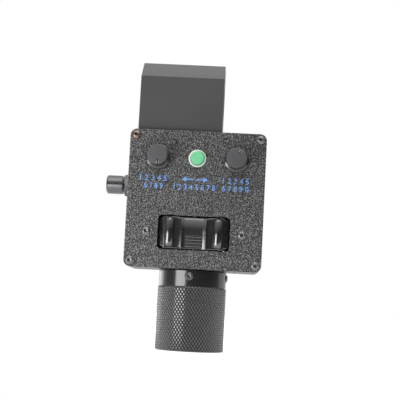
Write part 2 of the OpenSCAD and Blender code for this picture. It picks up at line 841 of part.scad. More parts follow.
module rocker_springs() {
    gap = bridge_depth - bar_back - 2 * spring_gap;
    color(steel) for (side = [-1, 1])
        at_panel() translate([side * spring_x, bar_back + spring_gap, rocker_z]) rotate([-90, 0, 0])
            coil(spring_r, spring_wire_r, gap, spring_turns);
}

module rocker_sensor() {
    foot = frame_h / 2;
    color(black) at_panel() translate([0, pivot_depth, rocker_z]) difference() {
        translate([-sensor_w / 2, -sensor_w / 2, foot]) cube([sensor_w, sensor_w, sensor_h]);
        rod(pivot_r + run_gap, foot - cut, foot + sensor_h - sensor_roof + clear_gap);
    }
}

// Front knobs

module left_knob() {
    color(black) front_knob(-knob_x);
}

module left_knob_cap() {
    color(steel) front_knob_cap(-knob_x, left_pointer);
}

module left_shaft() {
    color(steel) front_shaft(-knob_x);
}

module left_pot() {
    color(brass) front_pot(-knob_x);
}

module left_pot_nut() {
    color(steel) front_pot_nut(-knob_x);
}

module right_knob() {
    color(black) front_knob(knob_x);
}

module right_knob_cap() {
    color(steel) front_knob_cap(knob_x, right_pointer);
}

module right_shaft() {
    color(steel) front_shaft(knob_x);
}

module right_pot() {
    color(brass) front_pot(knob_x);
}

module right_pot_nut() {
    color(steel) front_pot_nut(knob_x);
}

// Side knob

module side_knob() {
    tip = side_knob_foot + side_knob_h;
    color(black) on_left() difference() {
        union() {
            rod(side_knob_r, side_knob_foot, tip - side_knob_edge);
            translate([0, 0, tip - side_knob_edge])
                cylinder(r1 = side_knob_r, r2 = side_knob_r - side_knob_edge, h = side_knob_edge);
        }
        rod(shaft_r + press_gap, 0, side_shaft_out + clear_gap);
        rod(neck_r + clear_gap, 0, side_neck_end + clear_gap);
    }
}

module side_shaft() {
    color(steel) on_left() pot_shaft(wall, side_shaft_out);
}

module side_pot() {
    color(brass) on_left() rotate(-90) pot(wall, side_neck_end);
}

module side_nut() {
    color(steel) on_left() rotate(side_nut_turn)
        hex_nut(side_nut_af, neck_r + thread_gap, washer_t, washer_t + side_nut_h);
}

module side_washer() {
    color(steel) on_left() difference() {
        rod(washer_r, 0, washer_t);
        rod(neck_r + screw_play, -cut, washer_t + cut);
    }
}

// Push button

module push_button() {
    color("#3fbf6a") on_front(0, control_z) {
        rod(button_r, -collar_back, button_out - button_edge);
        translate([0, 0, button_out - button_edge])
            cylinder(r1 = button_r, r2 = button_r - button_edge, h = button_edge);
        rod(button_collar_r, -collar_back, -collar_front);
    }
}

module button_barrel() {
    color("white") on_front(0, control_z) difference() {
        union() {
            rod(ring_r, 0, ring_h);
            rod(barrel_r, -barrel_len, ring_h / 2);
        }
        rod(button_r + run_gap, -barrel_len - cut, ring_h + cut);
        rod(button_collar_r + run_gap, -barrel_len - cut, -collar_front + press_gap);
    }
}

module button_nut() {
    color(steel) on_front(0, control_z)
        hex_nut(barrel_nut_af, barrel_r + thread_gap, -plate_t - pot_nut_h, -plate_t);
}

module button_spring() {
    free = barrel_len - collar_back - 2 * spring_gap;
    color(steel) on_front(0, control_z) translate([0, 0, -barrel_len + spring_gap])
        coil(button_spring_r, button_spring_wire_r, free, button_spring_turns);
}

module button_switch() {
    color(black) on_front(0, control_z) {
        translate([-switch_w / 2, -switch_w / 2, -barrel_len - switch_d])
            cube([switch_w, switch_w, switch_d]);
        difference() {
            rod(button_collar_r - spring_gap, -barrel_len - cut, -button_stop);
            rod(button_spring_r + button_spring_wire_r + spring_gap, -barrel_len, -button_stop + cut);
        }
        for (side = [-1, 1])
            translate([side * lug_pitch / 2 - lug_t / 2, -lug_w / 2, -barrel_len - switch_d - lug_len])
                cube([lug_t, lug_w, lug_len + root]);
    }
}

// Focus drum

module focus_drum() {
    color(black) difference() {
        under_box() difference() {
            union() {
                rod(collar_r, grip_top, drum_top);
                rod(drum_r, drum_end, grip_top);
            }
            rod(nut_recess_r, -nut_recess_end, 0);
            rod(shaft_r + press_gap, -drum_shaft_out - clear_gap, 0);
            rod(cavity_r, drum_end - cut, drum_top - hub_h);
            rod(cap_seat_r, drum_end - cut, drum_end + end_cap_t);
        }
        at_drum_screws() rod(screw_r + thread_gap, 0, drum_r + cut);
        at_drum_screws() rod(head_r(screw_r) + screw_play, drum_head_seat, drum_r + cut);
    }
}

module drum_end_cap() {
    cap_r = cap_seat_r - press_gap;
    color(black) under_box() {
        rod(cap_r, drum_end + end_cap_edge, drum_end + end_cap_t);
        translate([0, 0, drum_end]) cylinder(r1 = cap_r - end_cap_edge, r2 = cap_r, h = end_cap_edge);
    }
}

module drum_screws() {
    color(steel) at_drum_screws() translate([0, 0, drum_head_seat])
        button_screw(screw_r, drum_head_seat - shaft_r - press_gap);
}

module focus_shaft() {
    color(steel) under_box() rotate([180, 0, 0]) pot_shaft(wall, drum_shaft_out);
}

module focus_pot() {
    color(brass) under_box() rotate([180, 0, 0]) rotate(-90) pot(wall, neck_end);
}

module focus_pot_nut() {
    color(steel) under_box() rotate([180, 0, 0]) hex_nut(pot_nut_af, neck_r + thread_gap, 0, pot_nut_h);
}

// Board and lead socket

module circuit_board() {
    color(board_green) difference() {
        on_front(0, board_z, board_back) linear_extrude(board_t)
            square([board_w, board_h], center = true);
        at_standoffs(board_back) rod(screw_r + screw_play, -board_t - cut, cut);
    }
}

// A part on the board's front: its middle across and up, then its width, height and depth
module board_part(x, z, size) {
    at_panel() translate([x - size[0] / 2, board_front - size[2], board_z + z - size[1] / 2])
        cube([size[0], size[2], size[1]]);
}

module board_parts() {
    color(black) {
        board_part(0, 0, [main_chip_w, main_chip_h, chip_t]);
        for (side = [-1, 1]) {
            board_part(side * main_chip_w, -side_chip_h, [side_chip_w, side_chip_h, chip_t]);
            board_part(side * main_chip_w / 2, main_chip_h - small_chip_h / 2,
                [small_chip_w, small_chip_h, chip_t]);
        }
        for (place = headers) board_part(place[0], place[1], [header_w, header_h, header_d]);
    }
}

module board_standoffs() {
    color(brass) at_standoffs(board_back) hex_nut(standoff_af, screw_r + thread_gap, 0, standoff_h);
}

module board_screws() {
    color(steel) at_standoffs(board_front) rotate([180, 0, 0])
        button_screw(screw_r, board_t + standoff_grip);
}

module back_screws() {
    color(dark_steel) at_standoffs(back_y) button_screw(screw_r, wall + standoff_grip);
}

module socket_shell() {
    sleeve_r = plug_r + sleeve_t;
    mouth = socket_flange_t + sleeve_h;
    color(steel) difference() {
        on_back(socket_x, socket_z) {
            linear_extrude(socket_flange_t)
                rounded_rect(socket_flange_w, socket_flange_w, socket_corner_r);
            rod(sleeve_r, -socket_in, mouth);
        }
        on_back(socket_x, socket_z) rod(plug_r, -socket_in - cut, mouth + cut);
        at_socket_screws() rod(socket_screw_r + screw_play, -cut, socket_flange_t + cut);
    }
}

module socket_insert() {
    contact_foot = -socket_in / 2;
    color(black) on_back(socket_x, socket_z) difference() {
        rod(plug_r - press_gap, -socket_in, socket_flange_t);
        rod(contact_r, contact_foot, socket_flange_t + cut);
        for (i = [1:contacts])
            rotate(360 * i / contacts) translate([contact_ring, 0, 0])
                rod(contact_r, contact_foot, socket_flange_t + cut);
    }
}

module socket_screws() {
    color(steel) at_socket_screws() translate([0, 0, socket_flange_t])
        button_screw(socket_screw_r, socket_flange_t + wall + screw_over);
}

// The point in front of a header where its lead arrives
function header_point(i) = [headers[i][0], board_front - header_d - lead_gap, board_z + headers[i][1]];

module inner_leads() {
    lug_y = plate_t + pot_h / 2 - lug_t / 2;
    side_lug = [-box_w / 2 + wall + pot_h / 2, mid_y, side_z - lug_end];
    drum_lug = [-lug_end, mid_y, -box_h / 2 + wall + pot_h / 2];
    sensor_back = [0, pivot_depth + sensor_w / 2 + lead_gap, rocker_z + frame_h / 2 + sensor_h / 2];
    switch_back = [0, barrel_len + switch_d + lug_len + lead_gap, control_z];
    socket_front = [socket_x, back_y - socket_in - lead_gap, socket_z];
    // Where each lead starts, the step that it sets out along and the depth of its last step
    runs = [
        [[-knob_x, lug_y, control_z - lug_end], [0, 0, -wide_bend], wide_bend],
        [[knob_x, lug_y, control_z - lug_end], [0, 0, -wide_bend], wide_bend],
        [switch_back, [0, tight_bend, 0], tight_bend],
        [side_lug, [0, 0, -middle_bend], middle_bend],
        [drum_lug, [-middle_bend, 0, 0], wide_bend],
        [sensor_back, [0, middle_bend, 0], middle_bend],
        [socket_front, [0, -wide_bend, 0], wide_bend]
    ];
    color("firebrick") at_panel()
        for (i = [0:len(runs) - 1]) lead(runs[i][0], runs[i][1], header_point(i), [0, runs[i][2], 0]);
}

box_body();
front_plate();
plate_screws();
clamp_block();
clamp_cap();
clamp_screws();
foot_screws();
zoom_rocker();
rocker_pin();
rocker_frame();
rocker_screws();
rocker_springs();
rocker_sensor();
left_knob();
left_knob_cap();
left_shaft();
left_pot();
left_pot_nut();
right_knob();
right_knob_cap();
right_shaft();
right_pot();
right_pot_nut();
side_knob();
side_shaft();
side_pot();
side_nut();
side_washer();
push_button();
button_barrel();
button_nut();
button_spring();
button_switch();
focus_drum();
drum_end_cap();
drum_screws();
focus_shaft();
focus_pot();
focus_pot_nut();
circuit_board();
board_parts();
board_standoffs();
board_screws();
back_screws();
socket_shell();
socket_insert();
socket_screws();
inner_leads();
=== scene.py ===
# %% [markdown]
# # A lens zoom controller in studio light
#
# This is a hand controller for a camera lens. The block at its top grips a bar, and a person turns
# its knobs, presses its button, tilts its zoom rocker and twists the drum under it.
#
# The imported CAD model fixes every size, place and joint. It lacks the small rounding, the knurl and
# the finishes that the eye looks for. So this lesson reads the model and then dresses it, piece by
# piece, in millimetres measured from the same faces.

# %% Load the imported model
import json
import math

import bmesh
import bpy
from mathutils import Matrix, Vector, geometry


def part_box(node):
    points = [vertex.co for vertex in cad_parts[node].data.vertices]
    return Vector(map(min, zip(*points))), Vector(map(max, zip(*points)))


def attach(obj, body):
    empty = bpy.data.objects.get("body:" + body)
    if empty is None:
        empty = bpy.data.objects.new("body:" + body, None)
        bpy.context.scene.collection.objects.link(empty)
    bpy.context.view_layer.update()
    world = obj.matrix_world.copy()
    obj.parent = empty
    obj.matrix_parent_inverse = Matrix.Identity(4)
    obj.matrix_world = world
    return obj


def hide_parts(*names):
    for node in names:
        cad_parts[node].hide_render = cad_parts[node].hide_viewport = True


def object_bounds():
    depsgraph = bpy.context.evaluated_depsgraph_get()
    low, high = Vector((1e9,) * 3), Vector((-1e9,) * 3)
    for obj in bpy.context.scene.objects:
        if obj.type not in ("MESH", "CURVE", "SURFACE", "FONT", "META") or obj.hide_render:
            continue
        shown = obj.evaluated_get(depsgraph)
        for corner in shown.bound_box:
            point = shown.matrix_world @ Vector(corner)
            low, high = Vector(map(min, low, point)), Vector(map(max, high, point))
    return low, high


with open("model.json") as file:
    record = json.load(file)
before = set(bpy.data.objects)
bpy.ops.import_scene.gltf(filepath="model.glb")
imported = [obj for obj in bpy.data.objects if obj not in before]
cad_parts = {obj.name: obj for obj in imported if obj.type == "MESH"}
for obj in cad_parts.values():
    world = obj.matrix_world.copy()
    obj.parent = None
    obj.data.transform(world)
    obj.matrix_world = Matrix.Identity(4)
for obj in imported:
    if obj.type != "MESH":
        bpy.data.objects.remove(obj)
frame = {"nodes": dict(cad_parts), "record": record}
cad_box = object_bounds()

record = frame["record"]
slot_of = {part["node"]: part["material_slot"] for part in record["subparts"]}
body_of = {node: body for body, nodes in record["behaviour"]["bodies"].items() for node in nodes}
print("CAD box in mm:", [[round(1000 * v, 1) for v in corner] for corner in cad_box])

# %% [markdown]
# ## Main sizes
#
# The boxes round a few CAD nodes give the main sizes: the plate, the box, the places of the controls
# and the axis of the drum, which meets the middle of the box's underside. Smaller sizes, such as a
# bend or a groove, are named where they are first needed. All of them are in millimetres.


# %% Main sizes
def extent(node):
    """The lowest corner, the highest corner and the middle of a CAD node."""
    low, high = [Vector([round(1000 * v, 3) for v in corner]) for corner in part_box(node)]
    return low, high, (low + high) / 2


plate_low, plate_high, plate_middle = extent("front_plate")
BOX_W, PLATE_T, BOX_H = plate_high - plate_low
PANEL = Vector((plate_middle.x, plate_low.y, plate_middle.z))
BACK_Y = extent("box_body")[1].y - PANEL.y
AXIS = Vector((PANEL.x, PANEL.y + BACK_Y / 2, plate_low.z))
DRUM_END = extent("focus_drum")[0].z - AXIS.z


def on_plate(node):
    """How far to the right of the plate's middle, and how far above it, a node's middle lies."""
    away = extent(node)[2] - PANEL
    return round(away.x, 3), round(away.z, 3)


KNOB_X, CONTROL_Z = on_plate("right_knob")
ROCKER_Z = on_plate("zoom_rocker")[1]
SIDE_Z = on_plate("side_nut")[1]
SOCKET_X, SOCKET_Z = on_plate("socket_shell")
print("plate", BOX_W, "by", BOX_H, "mm, box and plate", BACK_Y, "mm deep, drum", -DRUM_END, "mm long")

# %% [markdown]
# ## Camera
#
# The picture was taken from a little to the right of the object and from below its middle, with a
# long lens. Four corners of the square front plate and the upright edges of the block fix such a
# view, so the camera is simply put there. A square picture uses the full 36 mm of the sensor.

# %% Camera
camera = bpy.data.objects.new("camera", bpy.data.cameras.new("camera"))
camera.data.lens = 92.33
camera.location = (0.039085, -0.710395, -0.141439)
camera.rotation_euler = [math.radians(angle) for angle in (95.944, -2.973, 1.621)]
bpy.context.scene.collection.objects.link(camera)
bpy.context.scene.camera = camera
print("camera looks from", [round(1000 * v) for v in camera.location], "mm")

# %% [markdown]
# ## Writing finishes as sums
#
# A finish is a small tree of nodes, and trees are hard to read as code. Here one class wraps a
# socket, so that `1 - mask * 0.5` adds its Math nodes by itself, and one method adds every other
# kind of node: its settings first, then the numbers or links of its sockets.


# %% Sockets that do sums
class Wire:
    """A socket that can stand in a sum; each sign adds one Math node."""

    def __init__(self, finish, socket):
        self.finish, self.socket = finish, socket

    def sign(self, operation, first, second):
        return self.finish.node("ShaderNodeMath", {"operation": operation}, {0: first, 1: second})


def signs(operation):
    """The two methods of a sign: with the wire on its left, and on its right."""
    return (lambda wire, other: wire.sign(operation, wire, other),
            lambda wire, other: wire.sign(operation, other, wire))


Wire.__add__, Wire.__radd__ = signs("ADD")
Wire.__sub__, Wire.__rsub__ = signs("SUBTRACT")
Wire.__mul__, Wire.__rmul__ = signs("MULTIPLY")


class Sums:
    """A node tree, and the sums that can be written in it."""

    def __init__(self, tree):
        self.nodes, self.links = tree.nodes, tree.links

    def node(self, kind, settings=(), sockets=(), out=0):
        made = self.nodes.new(kind)
        for key, value in dict(settings).items():
            setattr(made, key, value)
        for key, value in dict(sockets).items():
            self.join(made.inputs[key], value)
        return Wire(self, made.outputs[out])

    def join(self, socket, value):
        if isinstance(value, Wire):
            self.links.new(value.socket, socket)
        else:
            socket.default_value = value

    def ramp(self, value, low, high):
        """0 at one value, 1 at another, a straight rise between, and level beyond them."""
        return self.node("ShaderNodeMapRange", {"clamp": True}, {
            "Value": value, "From Min": low, "From Max": high})

    def mix(self, share, first, second):
        """One colour changing to another."""
        first, second = [(*tone, 1) if isinstance(tone, tuple) else tone for tone in (first, second)]
        return self.node("ShaderNodeMix", {"data_type": "RGBA"}, {0: share, 6: first, 7: second}, out=2)


print("sums ready")

# %% [markdown]
# ## Finishes
#
# A finish is a material with one Principled shader. Its patterns are laid out in the points of the
# piece itself, in metres, so a grain keeps its real size whatever it covers.


# %% Finishes
class Finish(Sums):
    """A material with one Principled shader, and the sums that feed it."""

    def __init__(self, name, **sockets):
        self.material = bpy.data.materials.new(name)
        self.material.use_nodes = True
        super().__init__(self.material.node_tree)
        self.shader = self.nodes["Principled BSDF"].inputs
        for socket, value in sockets.items():
            self.feed(socket.replace("_", " "), value)

    def feed(self, socket, value):
        self.join(self.shader[socket], value)

    def points(self):
        """Points of the piece itself, in metres."""
        return self.node("ShaderNodeTexCoord", out="Object")

    def place(self, stretch=(1, 1, 1)):
        """The same points, stretched along each axis."""
        return self.node("ShaderNodeMapping", {}, {"Vector": self.points(), "Scale": stretch})

    def axes(self):
        """The same points as three numbers."""
        points = self.points()
        return [self.node("ShaderNodeSeparateXYZ", {}, {0: points}, out=axis) for axis in "XYZ"]

    def noise(self, scale, detail, where=None):
        """Soft random patches; a scale of 1000 gives patches about a millimetre wide."""
        return self.node("ShaderNodeTexNoise", {}, {
            "Vector": where or self.place(), "Scale": scale, "Detail": detail})

    def least(self, first, second):
        """The smaller of two numbers."""
        return self.node("ShaderNodeMath", {"operation": "MINIMUM"}, {0: first, 1: second})

    def done(self, tone, rough, height=None, depth_mm=0):
        """Feeds colour and roughness, turns a height from 0 to 1 into dents, and gives the material."""
        self.feed("Base Color", tone)
        self.feed("Roughness", rough)
        if height is not None:
            dents = {"Height": height, "Distance": depth_mm / 1000}
            self.feed("Normal", self.node("ShaderNodeBump", {}, dents))
        return self.material


print("finishes ready")

# %% [markdown]
# ## Paints
#
# The box wears wrinkle paint: the skin of the paint dries faster than what lies under it and
# shrinks into small folds, less than a millimetre across. Two noises of nearly that size make the
# folds. Their tops are painted pale, as painted highlights where they would catch the light, and
# the same height drives the bump, so that each painted highlight sits on a top.
#
# The block above is sprayed smooth. It still has a faint orange peel and slow patches of sheen.


# %% Wrinkle paint and smooth paint
def folds(paint):
    """Height of the wrinkles."""
    return paint.noise(1750, 1) * 0.75 + paint.noise(900, 1) * 0.25


def wrinkle_paint():
    paint = Finish("wrinkle_paint", IOR=1.5)
    fold = folds(paint)
    # Painted highlight: the colour turns pale on the tops of the folds, where they would catch the light.
    fold_top_highlight = paint.ramp(fold, 0.52, 0.605)
    dark = paint.mix(paint.noise(38, 2), (0.009, 0.010, 0.010), (0.016, 0.016, 0.016))
    tone = paint.mix(fold_top_highlight, dark, (0.278, 0.279, 0.276))
    return paint.done(tone, 0.5 - fold_top_highlight * 0.15, fold, 0.5)


def smooth_paint():
    paint = Finish("smooth_paint", IOR=1.6)
    patch = paint.noise(26, 3)
    dust = paint.ramp(paint.noise(2600, 1), 0.70, 0.80)
    coat = paint.mix(patch, (0.049, 0.051, 0.050), (0.064, 0.066, 0.065))
    tone = paint.mix(dust * 0.35, coat, (0.20, 0.20, 0.19))
    peel = paint.noise(900, 1)
    return paint.done(tone, 0.40 + patch * 0.12, peel, 0.012)


finishes = {"wrinkle_paint": wrinkle_paint(), "satin_paint": smooth_paint()}
print("paints:", sorted(finishes))

# %% [markdown]
# ## Plastics
#
# The rocker is polished black plastic: almost no colour, a sharp reflection and a few hairline
# scratches. The knobs are black, moulded with a fine grain; their caps are painted grey, painted
# light that stands for the light on their tops. The button's green varies softly, as that of a
# clear plastic does.


# %% Plastics
def gloss_black():
    plastic = Finish("gloss_black", IOR=1.7, Coat_Weight=1.0, Coat_IOR=1.6, Coat_Roughness=0.08)
    smear = plastic.noise(70, 3)
    hair = plastic.ramp(plastic.noise(160, 2, plastic.place((1, 1, 9))), 0.68, 0.72)
    tone = plastic.mix(smear, (0.011, 0.011, 0.012), (0.018, 0.018, 0.019))
    return plastic.done(tone, 0.12 + smear * 0.10 + hair * 0.10)


def green_plastic():
    plastic = Finish("green_plastic", IOR=1.49)
    cloud = plastic.noise(240, 2)
    tone = plastic.mix(cloud, (0.152, 0.585, 0.288), (0.212, 0.660, 0.352))
    return plastic.done(tone, 0.34 + cloud * 0.12, plastic.noise(1500, 1), 0.01)


def grained(name, dark, pale, rough, depth, ior):
    surface = Finish(name, IOR=ior)
    grain = surface.noise(2400, 1)
    patch = surface.noise(120, 3)
    tone = surface.mix(patch * 0.6 + grain * 0.4, dark, pale)
    return surface.done(tone, rough + patch * 0.10, grain, depth)


finishes["gloss_black"] = gloss_black()
finishes["green_button"] = green_plastic()
for name, *look in (
        ("black_plastic", (0.014, 0.014, 0.015), (0.022, 0.022, 0.023), 0.16, 0.006, 1.65),
        # Painted light: the caps are coloured grey, lighter than the black barrels, for the light on the
        # knobs' tops.
        ("grey_cap", (0.070, 0.071, 0.076), (0.090, 0.091, 0.096), 0.40, 0.012, 1.55),
        ("white_ring", (0.78, 0.80, 0.77), (0.87, 0.88, 0.85), 0.35, 0.008, 1.46),
        # A pale finish for the pointers' edges, which are painted highlights.
        ("painted_highlight_line", (0.46, 0.46, 0.46), (0.58, 0.58, 0.58), 0.40, 0.008, 1.46)):
    finishes[name] = grained(name, *look)
print("plastics made, finishes so far:", len(finishes))

# %% [markdown]
# ## The drum's finish
#
# The drum is aluminium, turned on a lathe and dyed black in an acid bath. The dyed skin is a clear
# oxide, so it shines like lacquer and not like bare metal. The tool leaves very fine rings round it,
# so its noise is squeezed along the axis and left long round it. The knurled part is duller and
# greyed by dust and hands, and painted shade darkens the colour in its grooves.

# %% The drum's finish
DRUM_R, GRIP_TOP, PLAIN_STRIP, GRIP_FADE = 23.3, -11.5, 1.2, 0.3
TEETH, PITCH, FINE, GROOVE_SHARE = 66, 3.384, 6, 6
KNURL_ROWS = int((GRIP_TOP - DRUM_END - PLAIN_STRIP) * FINE / PITCH)
KNURL_LOW = (GRIP_TOP + DRUM_END) / 2 - KNURL_ROWS * PITCH / FINE / 2


def dyed_black():
    oxide = Finish("dyed_black", IOR=1.65, Coat_IOR=1.6, Coat_Roughness=0.10)

    def flatness(count):
        """0 in a groove and 1 on a flat, for a number that grows by one from groove to groove."""
        share = count.sign("FRACT", count, 0)
        return oxide.least(1, GROOVE_SHARE * oxide.least(share, 1 - share))

    rings = oxide.noise(700, 2, oxide.place((0.02, 0.02, 6)))
    patch = oxide.noise(60, 3)
    x, y, z = oxide.axes()
    edge = AXIS.z + GRIP_TOP
    grip = oxide.ramp(z, (edge + GRIP_FADE) / 1000, (edge - GRIP_FADE) / 1000)
    turn = x.sign("ARCTAN2", y - AXIS.y / 1000, x - AXIS.x / 1000) * (TEETH / (2 * math.pi))
    climb = (z * 1000 - (AXIS.z + KNURL_LOW)) * (1 / PITCH)
    # Painted shade: 1 in the knurl's grooves, where it darkens the grip's colour, and 0 on the flats.
    groove_shade = 1 - oxide.least(flatness(turn + climb), flatness(turn - climb))
    collar_tone = oxide.mix(patch, (0.009, 0.009, 0.010), (0.014, 0.014, 0.015))
    grip_tone = oxide.mix(patch, (0.044, 0.045, 0.047), (0.066, 0.067, 0.070))
    grip_tone = oxide.mix(groove_shade, grip_tone, (0.010, 0.010, 0.011))
    oxide.feed("Coat Weight", grip * (0.42 - groove_shade * 0.42))
    tone = oxide.mix(grip, collar_tone, grip_tone)
    return oxide.done(tone, 0.14 + rings * 0.08 + grip * 0.06, rings, 0.006)


finishes["knurled_grip"] = dyed_black()
print("knurl:", TEETH, "grooves each way,", KNURL_ROWS, "rows from", round(KNURL_LOW, 2), "mm")

# %% [markdown]
# ## Metals
#
# Screws, nuts and shafts are steel, either blackened or plated. Handling polishes their high spots
# and leaves dull patches between. The side knob is a turned rod with very fine rings. One screw of
# the front plate, at the upper left, has a brown tint of rust.

# %% Metals
SCREW_X, SCREW_Z = 41.8, 42.3
RUST_NEAR, RUST_FAR = 4, 6
rusty_screw = PANEL + Vector((-SCREW_X, 0, SCREW_Z))


def lathe_turned():
    metal = Finish("lathe_turned", Metallic=1.0)
    rings = metal.noise(9000, 0, metal.place((1, 0.002, 0.002)))
    patch = metal.noise(140, 3)
    tone = metal.mix(patch, (0.11, 0.11, 0.114), (0.145, 0.145, 0.15))
    return metal.done(tone, 0.22 + patch * 0.06, rings, 0.03)


def worn_metal(name, dull, bright, rough, grain, rust_at=None):
    metal = Finish(name, Metallic=1.0)
    patch = metal.noise(grain, 3)
    tone = metal.mix(metal.ramp(patch, 0.35, 0.65), dull, bright)
    if rust_at is not None:
        far = metal.node("ShaderNodeVectorMath", {"operation": "DISTANCE"}, {
            0: metal.points(), 1: rust_at / 1000}, out="Value")
        rust = metal.ramp(far, RUST_FAR / 1000, RUST_NEAR / 1000)
        tone = metal.mix(rust * 0.8, tone, (0.21, 0.155, 0.125))
    return metal.done(tone, rough + patch * 0.2, patch, 0.01)


finishes["gunmetal"] = lathe_turned()
finishes["black_oxide"] = grained(
    "black_oxide", (0.018, 0.018, 0.019), (0.030, 0.030, 0.031), 0.24, 0.01, 1.8)
for name, *look in (
        ("dark_screw", (0.13, 0.13, 0.13), (0.225, 0.222, 0.218), 0.26, 400, rusty_screw),
        ("bright_screw", (0.12, 0.12, 0.12), (0.20, 0.20, 0.20), 0.26, 400),
        ("plated", (0.085, 0.085, 0.088), (0.13, 0.13, 0.135), 0.12, 300),
        ("steel", (0.26, 0.26, 0.27), (0.42, 0.42, 0.43), 0.22, 900),
        ("spring_wire", (0.36, 0.36, 0.37), (0.50, 0.50, 0.51), 0.20, 900),
        ("brass", (0.46, 0.32, 0.11), (0.66, 0.49, 0.20), 0.22, 900),
        ("nickel", (0.40, 0.39, 0.37), (0.55, 0.54, 0.51), 0.20, 300)):
    finishes[name] = worn_metal(name, *look)
print("metals made, finishes so far:", len(finishes))

# %% [markdown]
# ## What stays inside
#
# The board, the leads and the potentiometers sit in the closed box. They keep their CAD shapes,
# but still get honest finishes, because someone may open the box or hide its front plate.


# %% Board and leads
def board_green():
    board = Finish("board_green", IOR=1.5)
    upright = board.noise(900, 1, board.place((1, 1, 0.15)))
    level = board.noise(900, 1, board.place((0.15, 1, 1)))
    weave = upright * 0.5 + level * 0.5
    track = board.ramp(board.noise(210, 1), 0.52, 0.56)
    tone = board.mix(track, (0.010, 0.085, 0.040), (0.030, 0.150, 0.075))
    return board.done(tone, 0.28 + weave * 0.2, weave, 0.02)


def sleeve_red():
    sleeve = Finish("sleeve_red", IOR=1.45)
    scuff = sleeve.noise(300, 3)
    tone = sleeve.mix(scuff, (0.095, 0.012, 0.010), (0.160, 0.022, 0.018))
    return sleeve.done(tone, 0.4 + scuff * 0.2)


finishes["board"] = board_green()
finishes["lead_sleeve"] = sleeve_red()
for node, shown in frame["nodes"].items():
    shown.data.materials.clear()
    shown.data.materials.append(finishes[slot_of[node]])
print("every node has a finish:", len(frame["nodes"]))

# %% [markdown]
# ## Drawing in millimetres
#
# Every face of the box has its own seat: a matrix that carries a drawing in millimetres to metres in
# the frame. Z points out of the face, except under the box, where it points up. Outlines are drawn
# flat on a seat: rounded corners, circles, or a distance from the middle that depends on the angle.


# %% Seats and outlines
def seat(origin, right, up):
    right, up = Vector(right), Vector(up)
    axes = Matrix((right, up, right.cross(up))).transposed().to_4x4()
    return Matrix.Scale(0.001, 4) @ Matrix.Translation(origin) @ axes


FRONT = seat(PANEL, (1, 0, 0), (0, 0, 1))
LEFT = seat(PANEL + Vector((-BOX_W / 2, BACK_Y / 2, SIDE_Z)), (0, -1, 0), (0, 0, 1))
BACK = seat(PANEL + Vector((0, BACK_Y, 0)), (-1, 0, 0), (0, 0, 1))
UNDER = seat(AXIS, (1, 0, 0), (0, 1, 0))


def bends(r, steps):
    """A round edge in steps: how far in from the wall, and how far back from the face."""
    turns = [math.pi / 2 * k / steps for k in range(steps + 1)]
    return [(r * (1 - math.cos(a)), r * (1 - math.sin(a))) for a in turns]


def rounded(corners, steps=6):
    """An outline from (x, y, radius) corners, each rounded by an arc of its radius."""
    outline = []
    for i, (x, y, r) in enumerate(corners):
        here = Vector((x, y))
        before = (Vector(corners[i - 1][:2]) - here).normalized()
        after = (Vector(corners[(i + 1) % len(corners)][:2]) - here).normalized()
        half = before.angle(after) / 2
        if r <= 0:
            outline.append(here)
            continue
        middle = here + (before + after).normalized() * (r / math.sin(half))
        first = here + before * (r / math.tan(half)) - middle
        turn = math.copysign(math.pi - 2 * half, before.y * after.x - before.x * after.y)
        outline += [middle + Matrix.Rotation(turn * k / steps, 2) @ first for k in range(steps + 1)]
    return outline


def rectangle(w, h, r, x=0, y=0):
    return rounded([(x + a * w / 2, y + b * h / 2, r) for a, b in ((1, -1), (1, 1), (-1, 1), (-1, -1))])


def polar(reach, sides):
    """An outline whose distance from the middle is a function of the angle."""
    turns = [2 * math.pi * k / sides for k in range(sides)]
    return [Vector((reach(a) * math.cos(a), reach(a) * math.sin(a))) for a in turns]


def circle(r, x=0, y=0, sides=64):
    return [Vector((x, y)) + p for p in polar(lambda a: r, sides)]


def off_middle(a, count):
    """How far an angle lies from the middle of its share, when a turn has so many equal shares."""
    return (a + math.pi / count) % (2 * math.pi / count) - math.pi / count


def hexagon(flats, sides):
    return polar(lambda a: flats / 2 / math.cos(off_middle(a, 6)), sides)


def grown(outline, by):
    """An anticlockwise outline moved outwards by a distance, corner by corner."""
    wider = []
    for i, here in enumerate(outline):
        come = (here - outline[i - 1]).normalized()
        go = (outline[(i + 1) % len(outline)] - here).normalized()
        out_a, out_b = Vector((come.y, -come.x)), Vector((go.y, -go.x))
        wider.append(here + (out_a + out_b) * (by / (1 + out_a.dot(out_b))))
    return wider


def at(outline, height):
    return [(p[0], p[1], height) for p in outline]


def at_corners(x, y, middle=0):
    """Four places in the corners of a rectangle."""
    return [(a, middle + b) for a in (-x, x) for b in (-y, y)]


print("seats and outlines ready")

# %% [markdown]
# ## Shells
#
# A shape is a list of points and a list of faces, called a shell. Three makers give nearly all of
# them: a skin over a stack of loops, a lathe (a skin over circles) and a prism whose edges are
# rounded as a casting's or a moulding's are.


# %% Shells
def skin(loops, caps=True):
    """Four-sided faces between loops of equal count, and a flat face at each end."""
    count = len(loops[0])
    points = [p for loop in loops for p in loop]
    faces = []
    for first in range(0, len(points) - count, count):
        for k in range(count):
            a, b = first + k, first + (k + 1) % count
            faces.append((a, b, b + count, a + count))
    if caps:
        faces += [tuple(range(count)), tuple(range(len(points) - count, len(points)))]
    return points, faces


def turned(profile, sides):
    """A circle for each (radius, height) of a profile."""
    return [at(circle(r, sides=sides), h) for r, h in profile]


def lathe(profile, sides=96):
    """A skin over circles; a profile that starts and ends on the axis, or where it began, is closed."""
    return skin(turned(profile, sides), caps=False)


def hollow_lathe(corners, steps=4):
    """A turned piece with a hole through it; the corners are (radius, height, bend)."""
    profile = rounded(corners, steps)
    return lathe(profile + profile[:1])


def edge_steps(low, high, bend, steps=4):
    """(height, inset) from the lower face, round its edge, up the wall and round to the upper face."""
    arc = bends(bend, steps)
    return [(low + back, inset) for inset, back in arc[::-1]] + [(high - back, inset) for inset, back in arc]


